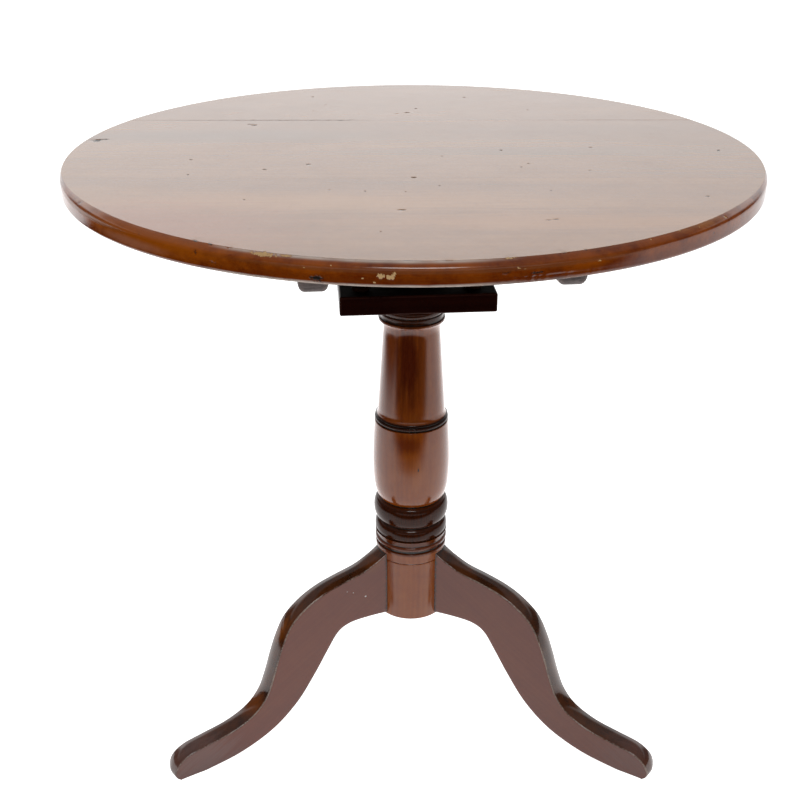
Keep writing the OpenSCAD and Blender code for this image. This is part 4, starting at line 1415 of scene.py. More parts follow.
@dataclass
class TopBoards:
    """The three boards of the round top, with wear on the rim, an opened joint and dents."""

    rounding_in: float = 7.2 * MM
    rounding_start: float = math.radians(21.0)
    crest_way: float = 1.1 * MM
    lower_arris: float = 3.4 * MM
    unstained_way: float = 20.5 * MM
    rim_step: float = 0.75
    chip_step: float = 0.11
    chip_reach: float = 1.3
    joint_margin: float = math.radians(0.45)
    chord_step: float = 4.0 * MM
    crack_step: float = 1.2 * MM
    face_step: float = 9.0 * MM
    face_margin: float = 3.4 * MM
    dish_reach: float = 8.0 * MM
    crack_from: float = -328 * MM
    crack_to: float = -31 * MM
    crack_darkest: Point = (-183 * MM, -77 * MM)
    crack_width: float = 2.2 * MM
    notch_x: float = -81 * MM
    notch_half: float = 4.5 * MM
    # The angles between which the rim's upper arris is painted with a highlight line over its wear.
    pale_rim: Point = (-119.0, -76.0)
    radius: float = field(init=False)
    upper: float = field(init=False)
    under: float = field(init=False)
    joints: Point = field(init=False)

    def __post_init__(self) -> None:
        """Reads the rim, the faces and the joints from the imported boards."""
        low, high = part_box("top_board_middle")
        self.radius = high.x
        self.upper, self.under = high.z, low.z
        self.joints = (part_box("top_board_front")[1].y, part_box("top_board_back")[0].y)

    def rim_rows(self) -> np.ndarray:
        """Returns the rim's outline from the upper face down.

        Returns:
            One row each: radius, height, outward and upward part of its normal, way down round
            the rim, and how much of an arris it is.
        """
        rows = []
        parts = (0.0, 0.04, 0.13, 0.24, 0.36, 0.48, 0.61, 0.74, 0.87, 1.0)
        left = math.pi / 2 - self.rounding_start
        turns = [self.rounding_start + left * part ** 2.2 for part in parts]
        rounded = [(0.0, 0.0)]
        for k in range(1, len(parts)):
            turn, length = (turns[k - 1] + turns[k]) / 2, parts[k] - parts[k - 1]
            out, drop = rounded[-1]
            rounded.append((out + length * math.cos(turn), drop + length * math.sin(turn)))
        long = self.rounding_in / rounded[-1][0]
        down = long * rounded[-1][1]
        way = down + self.crest_way
        for step, (out, drop) in enumerate(rounded):
            rows.append((self.radius - self.rounding_in + long * out, self.upper - long * drop,
                         math.sin(turns[step]), math.cos(turns[step]), way - long * (1 - parts[step]),
                         math.exp(-((step - 2.0) / 1.5) ** 2)))
        side = self.upper - down - self.under - self.lower_arris
        for step in range(1, 14):
            drop = side * step / 14
            rows.append((self.radius, self.upper - down - drop, 1.0, 0.0, way + drop, 0.0))
        for step in range(8):
            angle = math.pi / 2 * step / 7
            rows.append((self.radius - self.lower_arris * (1 - math.cos(angle)),
                         self.under + self.lower_arris * (1 - math.sin(angle)),
                         math.cos(angle), -math.sin(angle), way + side + self.lower_arris * angle,
                         math.sin(2 * angle) if 0 < step < 7 else 0.0))
        return np.array(rows)

    def rim_angles(self) -> np.ndarray:
        """Returns the angles of the rim's columns, closer together at the chips.

        Returns:
            The angles in radians, in order.
        """
        angles = list(np.arange(-90.0, 270.0, self.rim_step))
        for chip in CHIPS:
            middle = (chip.angle + 90.0) % 360.0 - 90.0
            half = math.degrees(chip.half_length * MM / self.radius) * self.chip_reach
            angles += list(np.arange(middle - half, middle + half, self.chip_step))
        ordered = np.unique(np.round(angles, 3))
        kept = [ordered[0]]
        for angle in ordered[1:]:
            if angle - kept[-1] >= 0.6 * self.chip_step:
                kept.append(angle)
        return np.radians([angle for angle in kept if -90.0 <= angle < 270.0])

    def column(self, angle: float, rows: np.ndarray) -> tuple[np.ndarray, ...]:
        """Wears one upright column of the rim.

        Args:
            angle: where round the rim it is, in radians.
            rows: the rim's clean outline.

        Returns:
            Its radii, heights, and arris, hollow and bare values.
        """
        around = Vector((math.cos(angle), math.sin(angle), 0.0))
        way = rows[:, 4]
        slow = 0.5 + 0.5 * noise.noise(around * 5.0)
        quick = 0.5 + 0.5 * noise.noise(around * 23.0 + Vector((3.0, 0.0, 0.0)))
        cut = 0.10 * MM * slow + 0.10 * MM * quick
        side_wave = cut * np.clip(way / (3 * MM), 0, 1) * np.clip((way[-1] - way) / (3 * MM), 0, 1)
        degrees = math.degrees(angle)
        lift_place = sum(lift.share * math.exp(-((degrees - lift.angle) / lift.half_width) ** 2)
                         for lift in LIFTS)
        jagged = 0.75 + 0.5 * noise.noise(around * 90.0)
        lift = (0.25 * quick + 1.9 * lift_place * jagged) * MM
        low_wear = lift * np.exp(-((way - way[-1] + 5.2 * MM) / (3.0 * MM)) ** 2)
        high_wear = (0.1 + 0.35 * quick) * MM * np.exp(-((way - 1.6 * MM) / (1.5 * MM)) ** 2)
        inward = side_wave + 0.45 * low_wear + 0.6 * high_wear
        reach = 0.35 + 0.65 * min(1.0, max(0.0, (-0.25 - around.y) / 0.35))
        radius = self.radius - (self.radius - rows[:, 0]) * np.where(rows[:, 3] > 0, reach, 1) - inward
        height = rows[:, 1] + 0.9 * low_wear - 0.6 * high_wear
        turned = (degrees + 180) % 360 - 180
        # Between the pale_rim angles the upper arris takes a painted highlight line, through the arris
        # value and the rubbed colour, over real wear; the crest there gets a darker line.
        start, end = self.pale_rim
        pale = 0.04 + 0.96 * float(np.clip((turned - start) / 4, 0, 1) * np.clip((end - turned) / 9, 0, 1))
        arris = rows[:, 5] * pale * (0.5 + 0.8 * quick)
        hollow = 0.9 * pale * quick * np.exp(-(np.arange(len(rows)) / 0.8) ** 2)
        # Darker and rougher towards the rim's lower arris, which tones down its reflection.
        below = np.clip((way - way[-1] + 6.0 * MM) / (2.5 * MM), 0, 1)
        hollow = np.maximum(hollow, below * (0.25 + 0.45 * slow * quick))
        bare = np.zeros(len(rows))
        for chip in CHIPS:
            turn = (degrees - chip.angle + 180.0) % 360.0 - 180.0
            aside = math.radians(turn) * self.radius / (chip.half_length * MM)
            if abs(aside) > self.chip_reach:
                continue
            above = (way - chip.down * MM) / (chip.half_height * MM)
            ragged = np.array([noise.noise(around * 320.0 + Vector((0, 0, w * 900.0))) for w in way])
            shape = np.clip(0.85 - aside ** 2 - above ** 2 + 1.0 * ragged, 0, 1)
            depth = 0.6 * chip.depth * MM * np.minimum(shape * 1.6, 1.0)
            radius -= depth * np.maximum(rows[:, 2], 0.3)
            height -= depth * rows[:, 3] * (1.0 if chip.down < 10 else 0.4)
            bare = np.maximum(bare, np.minimum(shape * 1.6, 1.0) * chip.bare)
            hollow = np.maximum(hollow, np.minimum(shape * 1.5, 1.0) * chip.dirt)
            arris *= 1 - np.minimum(shape * 2, 1.0)
        return radius, height, arris, hollow, bare

    def dish(self, x: float, y: float) -> float:
        """Returns how far the face has sunk at a place, as each board has cupped a little.

        Args:
            x: the place along the boards.
            y: the place across them.

        Returns:
            The depth in metres.
        """
        low, high = self.joints
        board = 0 if y < low else 1 if y < high else 2
        middle = (-0.5 * (self.radius - low), 0.5 * (low + high), 0.5 * (self.radius + high))[board]
        half = 0.5 * (high - low)
        cup = 0.22 * MM * (1 - ((y - middle) / half) ** 2) * (1 if board == 1 else -0.4)
        wave = 0.10 * MM * noise.noise(Vector((x * 5.0, y * 9.0, board)))
        return 0.14 * MM + max(-0.1 * MM, cup) * 0.6 + wave

    def gap(self, x: float, joint: float) -> float:
        """Returns half the opening of a joint at its upper face.

        Args:
            x: the place along the joint.
            joint: the joint's place across the boards.

        Returns:
            Half the width in metres.
        """
        if joint != self.joints[1] or not self.crack_from < x < self.crack_to:
            return 0.01 * MM
        start, end = self.crack_darkest
        rise = min(1.0, (x - self.crack_from) / (start - self.crack_from))
        fall = min(1.0, (self.crack_to - x) / (self.crack_to - end))
        ragged = 0.75 + 0.4 * noise.noise(Vector((x * 160.0, 0.0, 0.0)))
        return 0.5 * self.crack_width * (rise * fall) ** 1.6 * ragged

    def chord(self, joint: float, towards: int, inside: int, rows: np.ndarray) -> list[tuple]:
        """Makes the columns along a joint's face.

        Args:
            joint: the joint's place across the boards.
            towards: 1 to go towards +X, -1 towards -X.
            inside: 1 when the board lies behind the joint, -1 before it.
            rows: the rim's clean outline.

        Returns:
            The columns, each with its places and its wear.
        """
        end = math.sqrt((self.radius - self.lower_arris) ** 2 - joint ** 2) - 2 * MM
        cracked = joint == self.joints[1]
        stops = [-end]
        while stops[-1] < end - self.chord_step:
            close = cracked and self.crack_from < stops[-1] < self.crack_to
            stops.append(stops[-1] + (self.crack_step if close else self.chord_step))
        columns = []
        depth = self.upper - rows[:, 1]
        for x in (stops if towards > 0 else reversed(stops)):
            open_here = self.gap(x, joint) * np.clip(1.2 - depth / (16 * MM), 0.1, 1)
            rounded = 0.12 * MM * np.clip(1 - depth / (0.5 * MM), 0, 1) * (2.0 if cracked else 0.3)
            notch = max(0.0, 1 - ((x - self.notch_x) / self.notch_half) ** 2)
            notch *= cracked and inside < 0
            bite = notch * 0.8 * MM * np.clip(1 - depth / (1.5 * MM), 0, 1)
            y = joint + inside * (open_here + rounded + bite)
            fade = np.clip(1 - depth / self.dish_reach, 0, 1)
            z = rows[:, 1] - self.dish(x, joint + inside * MM) * fade
            dirt = np.clip(depth / (0.3 * MM), 0.35, 1) * (1.0 if cracked else 0.5)
            dirt = np.clip(dirt * min(1.0, self.gap(x, joint) / (0.12 * MM)) + 0.4 * notch, 0, 1)
            columns.append((np.column_stack([np.full(len(z), x), y, z]), 0 * z, dirt, 0 * z))
        return columns

    def arc(self, start: float, end: float, rows: np.ndarray, wear_and_highlight: dict[float, tuple],
            closed: tuple[bool, bool]) -> list[tuple]:
        """Makes the columns of a stretch of rim.

        Args:
            start: the angle where it starts.
            end: the angle where it ends.
            rows: the rim's clean outline.
            wear_and_highlight: the rim's columns by their angles, with their wear and a painted highlight
                line.
            closed: whether each end stops at a joint, where a column lies in the joint's plane.

        Returns:
            The columns, each with its places and its wear.
        """
        low = start + self.joint_margin if closed[0] else start
        high = end - self.joint_margin if closed[1] else end
        angles = [angle for angle in wear_and_highlight if low <= angle < high]
        angles = ([start] if closed[0] else []) + angles + ([end] if closed[1] else [])
        columns = []
        for angle in angles:
            radius, height, arris, hollow, bare = wear_and_highlight.get(angle) or self.column(angle, rows)
            if angle in wear_and_highlight:
                x, y = radius * math.cos(angle), radius * math.sin(angle)
            else:
                y = np.full(len(radius), self.radius * math.sin(angle))
                x = np.sqrt(radius ** 2 - y ** 2) * math.copysign(1, math.cos(angle))
            fade = np.clip(1 - (self.upper - height) / self.dish_reach, 0, 1)
            sunk = self.dish(x[0], y[0]) * fade
            columns.append((np.column_stack([x, y, height - sunk]), arris, hollow, bare))
        return columns

    def pit_at(self, x: float, y: float) -> tuple[float, float]:
        """Returns the depth of any dent at a place on the face, and its dirt.

        Args:
            x: the place along the boards.
            y: the place across them.

        Returns:
            The depth in metres, and the dirt from 0 to 1.
        """
        depth = dirt = 0.0
        for pit in PITS:
            along = (x - pit.x * MM) / (pit.half_length * MM)
            across = (y - pit.y * MM) / (pit.half_width * MM)
            if abs(along) > 1.6 or abs(across) > 1.6:
                continue
            ragged = 0.8 * noise.noise(Vector((x * 600.0, y * 600.0, pit.x)))
            shape = min(1.0, max(0.0, 0.95 - along ** 2 - across ** 2 + ragged))
            depth = max(depth, 0.8 * pit.depth * MM * shape)
            dirt = max(dirt, min(1.0, shape * 1.5) * pit.dirt * 0.85)
        return depth, dirt

    def face_points(self, low: float, high: float) -> list[Point]:
        """Spreads points over a board's face, closer together at the dents.

        Args:
            low: the joint before it.
            high: the joint behind it.

        Returns:
            The points.
        """
        step = self.face_step
        inner = self.radius - self.rounding_in - self.face_margin
        span = range(-45, 46)
        points = []
        for row in span:
            for column in span:
                x = step * (column + 0.5 * (row % 2))
                y = step * row * math.sqrt(3) / 2
                if math.hypot(x, y) < inner - 0.4 * step and low + 0.4 * step < y < high - 0.4 * step:
                    points.append((x, y))
        for angle in np.radians(np.arange(0, 360, self.rim_step)):
            x, y = inner * math.cos(angle), inner * math.sin(angle)
            if low + 1.5 * MM < y < high - 1.5 * MM:
                points.append((x, y))
        for pit in PITS:
            for ring in range(1, 8):
                count = 6 + 3 * ring
                for k in range(count):
                    angle = 2 * math.pi * (k + 0.5 * (ring % 2)) / count
                    far = ring / 5
                    x = (pit.x + far * pit.half_length * math.cos(angle)) * MM
                    y = (pit.y + far * pit.half_width * math.sin(angle)) * MM
                    if math.hypot(x, y) < inner - MM and low + MM < y < high - MM:
                        points.append((x, y))
        return points

    def board(self, name: str, low: float, high: float, rows: np.ndarray, wear_and_highlight: dict[float, tuple],
              shift: float) -> Object:
        """Makes one board.

        Args:
            name: the piece's name.
            low: the joint before it, or minus infinity.
            high: the joint behind it, or infinity.
            rows: the rim's clean outline.
            wear_and_highlight: the rim's columns by their angles, with their wear and a painted highlight
                line.
            shift: where along the plank it was cut.

        Returns:
            The piece.
        """
        has_low, has_high = math.isfinite(low), math.isfinite(high)
        first = math.asin(low / self.radius) if has_low else -math.pi / 2
        last = math.asin(high / self.radius) if has_high else math.pi / 2
        columns = self.arc(first, last, rows, wear_and_highlight, (has_low, has_high))
        if has_high:
            columns += self.chord(high, -1, -1, rows)
        columns += self.arc(math.pi - last, math.pi - first, rows, wear_and_highlight, (has_high, has_low))
        if has_low:
            columns += self.chord(low, 1, 1, rows)

        count, deep = len(columns), len(rows)
        verts = [tuple(place) for column in columns for place in column[0]]
        wear = {title: np.concatenate([column[k] for column in columns])
                for k, title in ((1, "arris"), (2, "hollow"), (3, "bare"))}
        for values in wear.values():
            values[deep - 1::deep] = 0.0
        at_crest = np.arange(deep) == 0
        wear["dull"] = np.tile(np.clip((rows[:, 4] - self.unstained_way) / (3 * MM), 0, 1), count)
        wear["soaked"] = np.tile(1.0 - at_crest, count)
        wear["crest"] = np.tile(1.0 * at_crest, count)
        faces = []
        for i in range(count):
            a, b = i * deep, (i + 1) % count * deep
            faces += [(a + k, a + k + 1, b + k + 1, b + k) for k in range(deep - 1)]

        edge = [Vector(verts[i * deep][:2]) for i in range(count)]
        inside = [Vector(point) for point in self.face_points(low, high)]
        made, _, tris, origins, _, _ = geometry.delaunay_2d_cdt(
            edge + inside, [], [list(range(count))], 1, 1e-7)
        numbers = []
        dirts = []
        for place, origin in zip(made, origins):
            rim = [k for k in origin if k < count]
            if rim:
                numbers.append(rim[0] * deep)
                continue
            depth, dirt = self.pit_at(place.x, place.y)
            numbers.append(len(verts))
            verts.append((place.x, place.y, self.upper - self.dish(place.x, place.y) - depth))
            dirts.append(dirt)
        faces += [tuple(numbers[k] for k in tri) for tri in tris]
        faces.append(tuple(i * deep + deep - 1 for i in range(count)))

        mesh = bpy.data.meshes.new(name)
        mesh.from_pydata(verts, [], faces)
        for title, values in wear.items():
            on_face = dirts if title == "hollow" else np.zeros(len(dirts))
            put_attribute(mesh, title, np.concatenate([values, on_face]))
        lay_grain(mesh, Fibre.ALONG_X, shift)
        face_outwards(mesh, 1e-7)
        shade(mesh, 50.0)
        marks = np.empty(len(mesh.vertices))
        mesh.attributes["crest"].data.foreach_get("value", marks)
        for line in mesh.edges:
            if all(marks[number] > 0.5 for number in line.vertices):
                line.use_edge_sharp = True
        mesh.attributes.remove(mesh.attributes["crest"])
        return new_object(name, mesh)

    def build(self, material: Material) -> None:
        """Makes and dresses the three boards.

        Args:
            material: their finish.
        """
        rows = self.rim_rows()
        wear_and_highlight = {float(angle): self.column(float(angle), rows) for angle in self.rim_angles()}
        front, back = self.joints
        for node, low, high, shift in (("top_board_front", -math.inf, front, 0.0),
                                       ("top_board_middle", front, back, 1.9),
                                       ("top_board_back", back, math.inf, 4.3)):
            name = node.replace("top_board", "varnished_board")
            dress(self.board(name, low, high, rows, wear_and_highlight, shift), material, Slot.TOP_WOOD, node)


@dataclass(frozen=True)
class Splinter:
    """A lower corner taken off a batten's front end by wear: which corner, and its sizes in millimetres."""

    corner: int
    width: float
    height: float
    length: float


SPLINTERS = {Side.LEFT: (Splinter(-1, 4.0, 15.0, 26.0), Splinter(1, 3.0, 9.0, 18.0)),
             Side.RIGHT: (Splinter(-1, 3.5, 9.0, 22.0), Splinter(1, 5.0, 13.0, 24.0))}


@dataclass
class Battens:
    """The two long battens under the top, and their screws."""

    easing: float = 4.0 * MM
    bore_room: float = 8.2 * MM
    nose: float = 4.2 * MM
    nose_fade: float = 16.0 * MM
    rub_steps: tuple[float, ...] = (8.0, 16.0, 30.0)
    screw_ys: tuple[float, ...] = (-230 * MM, -140 * MM, 20 * MM, 125 * MM, 230 * MM)
    screw: ScrewSize = ScrewSize(9.0 * MM, 4.5 * MM, 37.0 * MM)

    def build(self, wood: Material, steel: Material, shop: Workshop) -> None:
        """Makes and dresses the battens and their screws.

        Args:
            wood: the battens' finish.
            steel: the screws' finish.
            shop: the trees that drive the screws.
        """
        heads = []
        for side in Side:
            node = f"batten_{side.name.lower()}"
            low, high = CAGE_AXES.box(node)
            piece = eased_copy(node, f"long_{node}", self.arrises(low, high), self.easing,
                               Fibre.ALONG_Y, 7.1 + side.value, rounds=4)
            self.rub_off(piece, SPLINTERS[side], low, high)
            # Painted sheen: the front nose takes the stain's pale grey matte colour, more of it lower down,
            # standing in for the floor's reflection there.
            places = CAGE_AXES.places(piece.data)
            above = np.clip((high.z - places[:, 2]) / self.nose_fade, 0.2, 0.9)
            put_attribute(piece.data, "dull", (places[:, 1] < low.y + self.nose) * above)
            dress(piece, wood, Slot.DARK_WOOD, node)
            middle = (low.x + high.x) / 2
            heads += [Vector((middle, y, low.z)) for y in self.screw_ys]
        screws = shop.drive("batten_wood_screws", heads, steel, self.screw, seed=11)
        dress(screws, steel, Slot.SCREW_STEEL, "batten_screws")

    def arrises(self, low: Vector, high: Vector) -> Picker:
        """Picks a batten's arrises, but not those under the top or round the bore.

        Args:
            low: the batten's lowest corner, in the cage's axes.
            high: its highest corner.

        Returns:
            The test for an edge.
        """
        def pick(edge: BMEdge) -> bool:
            """Tests where both ends of the edge lie."""
            ends = [vertex.co for vertex in edge.verts]
            on_side = any(all(abs(end.x - x) < 0.02 * MM for end in ends) for x in (low.x, high.x))
            at_top = all(abs(end.z - high.z) < 0.02 * MM for end in ends)
            at_bore = any(math.hypot(end.y - CAGE_AXES.pintle.y, end.z - CAGE_AXES.pintle.z)
                          < self.bore_room for end in ends)
            return on_side and not at_top and not at_bore
        return pick

    def rub_off(self, piece: Object, splinters: Sequence[Splinter], low: Vector,
                high: Vector) -> None:
        """Rubs the lower corners off a batten's front end.

        Args:
            piece: the batten.
            splinters: what has gone from it.
            low: the batten's lowest corner, in the cage's axes.
            high: its highest corner.
        """
        made = bmesh.new()
        made.from_mesh(piece.data)
        made.transform(CAGE_AXES.to_cage)
        for step in self.rub_steps:
            bmesh.ops.bisect_plane(made, geom=[*made.verts, *made.edges, *made.faces], dist=1e-6,
                                   plane_co=(0.0, low.y + step * MM, 0.0), plane_no=(0.0, 1.0, 0.0))
        for vertex in made.verts:
            for splinter in splinters:
                side_x = low.x if splinter.corner < 0 else high.x
                along = 1 - (vertex.co.y - low.y) / (splinter.length * MM)
                up = 1 - (vertex.co.z - low.z) / (splinter.height * MM)
                if along > 0 and up > 0 and abs(vertex.co.x - side_x) < 1.2 * self.easing:
                    vertex.co.x -= splinter.corner * splinter.width * MM * along * up
        made.transform(CAGE_AXES.to_table)
        made.to_mesh(piece.data)
        made.free()
        if "custom_normal" in piece.data.attributes:
            piece.data.attributes.remove(piece.data.attributes["custom_normal"])
        shade(piece.data, 32.0)


@dataclass
class Catch:
    """The brass spring catch under the top's back part."""

    easing: float = 0.3 * MM
    wire_d: float = 0.8 * MM
    coil_r: float = 1.7 * MM
    turns: float = 6.0
    knob_segments: int = 48
    screw: ScrewSize = ScrewSize(6.0 * MM, 3.0 * MM, 10.0 * MM)

    def build(self, brass: Material, wire: Material, shop: Workshop) -> None:
        """Makes and dresses the catch.

        Args:
            brass: the finish of all but the spring.
            wire: the spring's finish.
            shop: the trees that turn, wind and drive.
        """
        for node, name in (("catch_case", "brass_case"), ("catch_cover", "brass_cover"),
                           ("catch_bolt", "brass_bolt")):
            piece = eased_copy(node, name, box_edges(*CAGE_AXES.box(node)), self.easing, rounds=2)
            dress(piece, brass, Slot.BRASS, node)
        self.knob(brass, shop)
        self.spring(wire, shop)
        low, high = CAGE_AXES.box("catch_screws")
        inset = self.screw.head_d / 2
        heads = [Vector((x, y, low.z)) for x in (low.x + inset, high.x - inset)
                 for y in (low.y + inset, high.y - inset)]
        screws = shop.drive("flange_wood_screws", heads, brass, self.screw, seed=5)
        dress(screws, brass, Slot.BRASS, "catch_screws")

    def knob(self, brass: Material, shop: Workshop) -> None:
        """Turns the finger knob and its riveted stem.

        Args:
            brass: its finish.
            shop: the trees with the lathe.
        """
        low, high = CAGE_AXES.box("catch_knob")
        radius, base, top = (high.x - low.x) / 2 / MM, low.z / MM, high.z / MM
        outline = Outline(0.0, base)
        outline.to((2.0, base + 0.1), (2.6, base + 0.45), (3.2, base + 0.12))
        for k in range(2, 18):
            angle = math.radians(-60 + 130 * k / 17)
            outline.to((radius * math.cos(angle), base + 3.6 * (1 + math.sin(angle))))
        outline.to((2.25, base + 7.4), (2.25, top - 0.2), (2.0, top), (0.0, top)).eased(0.25)
        piece = shop.turn("brass_knob", outline, brass, self.knob_segments,
                          CAGE_AXES.axis("catch_knob"))
        dress(piece, brass, Slot.BRASS, "catch_knob")

    def spring(self, wire: Material, shop: Workshop) -> None:
        """Winds the spring behind the bolt.

        Args:
            wire: its finish.
            shop: the trees that wind it.
        """
        low, high = CAGE_AXES.box("catch_spring")
        length = high.y - low.y
        middle = Vector(((low.x + high.x) / 2, 0.0, (low.z + high.z) / 2))
        piece = new_object("bolt_spring", bpy.data.meshes.new("bolt_spring"))
        run_tree(piece, shop.spring,
                 {"Coil Radius": self.coil_r, "Wire Diameter": self.wire_d,
                  "Length": length - self.wire_d, "Turns": self.turns,
                  "Tilt": (-math.pi / 2, 0.0, 0.0),
                  "Place": (middle.x, low.y + self.wire_d / 2, middle.z), "Finish": wire})
        face_outwards(piece.data)
        shade(piece.data, 60.0)
        piece.data.transform(CAGE_AXES.to_table)
        dress(piece, wire, Slot.SPRING_STEEL, "catch_spring")
        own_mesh(piece)


# The cage


@dataclass
class Cage:
    """The two plates, the four colonnettes between them and the keep of the catch."""

    easing: float = 2.0 * MM
    keep_easing: float = 0.25 * MM
    tenon_r: float = 6.0
    tenon_l: float = 15.0
    foot_r: float = 9.0
    segments: int = 64
    upper_half: float = 96.0 * MM
    screw: ScrewSize = ScrewSize(6.0 * MM, 3.0 * MM, 12.0 * MM)

    def build(self, wood: Material, inner: Material, brass: Material,
              shop: Workshop) -> None:
        """Makes and dresses the cage.

        Args:
            wood: the finish of the lower plate.
            inner: the finish of the upper plate and the colonnettes, near black as painted shade.
            brass: the keep's finish.
            shop: the trees that turn and drive.
        """
        low, high = CAGE_AXES.box("cage_lower_plate")
        plate = eased_copy("cage_lower_plate", "lower_plate", box_edges(low, high), self.easing,
                           Fibre.ALONG_X, 2.7, rounds=5)
        # Painted shade: the upper face of the lower plate, in deep shade under the top, takes the full
        # matte value, so the stain's near-black matte colour covers it.
        upward = np.abs(places_of(plate.data)[:, 2] - high.z) < 0.05 * MM
        put_attribute(plate.data, "dull", upward.astype(float))
        dress(plate, wood, Slot.DARK_WOOD, "cage_lower_plate")
        self.upper_plate(inner)
        self.colonnettes(inner, shop, high.z)
        keep_low, keep_high = CAGE_AXES.box("catch_keep")
        keep = eased_copy("catch_keep", "brass_keep", box_edges(keep_low, keep_high), self.keep_easing,
                          rounds=2)
        dress(keep, brass, Slot.BRASS, "catch_keep")
        screw_low, screw_high = CAGE_AXES.box("keep_screws")
        middle, inset = (screw_low.z + screw_high.z) / 2, self.screw.head_d / 2
        heads = [Vector((x, screw_high.y, middle)) for x in (screw_low.x + inset, screw_high.x - inset)]
        screws = shop.drive("keep_wood_screws", heads, brass, self.screw, seed=3,
                            tilt=Matrix.Rotation(math.pi / 2, 3, "X"))
        dress(screws, brass, Slot.BRASS, "keep_screws")

    def upper_plate(self, wood: Material) -> None:
        """Copies the upper plate with its pintles and eases its back and side arrises.

        Args:
            wood: its finish.
        """
        low, high = CAGE_AXES.box("cage_upper_plate")
        planes = [(0, -self.upper_half), (0, self.upper_half), (1, high.y), (2, low.z), (2, high.z)]
        piece = eased_copy("cage_upper_plate", "upper_plate", on_planes(planes), self.easing,
                           Fibre.ALONG_X, 5.2)
        dress(piece, wood, Slot.DARK_WOOD, "cage_upper_plate")

    def colonnettes(self, wood: Material, shop: Workshop, foot_z: float) -> None:
        """Turns the four colonnettes.

        Args:
            wood: their finish.
            shop: the trees with the lathe.
            foot_z: the upper face of the lower plate.
        """
        for number, (end, side) in enumerate((e, s) for e in ("front", "back") for s in Side):
            node = f"colonnette_{end}_{side.name.lower()}"
            low, high = CAGE_AXES.box(node)
            radius = (high.x - low.x) / 2 / MM
            base = foot_z / MM
            height = (high.z - low.z) / MM - 2 * self.tenon_l
            slim = self.foot_r - 1.5
            lower = Outline(0.0, -self.tenon_l)
            lower.to((self.tenon_r - 1, -self.tenon_l), (self.tenon_r, 1 - self.tenon_l),
                     (self.tenon_r, 0), (self.foot_r, 0), (self.foot_r, 4), (slim, 5))
            lower.bead(slim, radius - slim - 1, 6.0, 7.0)
            lower.curve([(slim - 0.5, 15), (slim + 1.5, (15 + height / 2) / 2 - 5),
                         (radius, height / 2 - 5), (radius - 1, height / 2)])
            upper = [(r, height - z) for r, z in reversed(lower.points)]
            lower.points = [(r, base + z) for r, z in lower.points + upper]
            piece = shop.turn(f"turned_{node}", lower.eased(0.5), wood, self.segments,
                              CAGE_AXES.axis(node), 1.3 * number + 0.4)
            dress(piece, wood, Slot.DARK_WOOD, node)


# The pillar


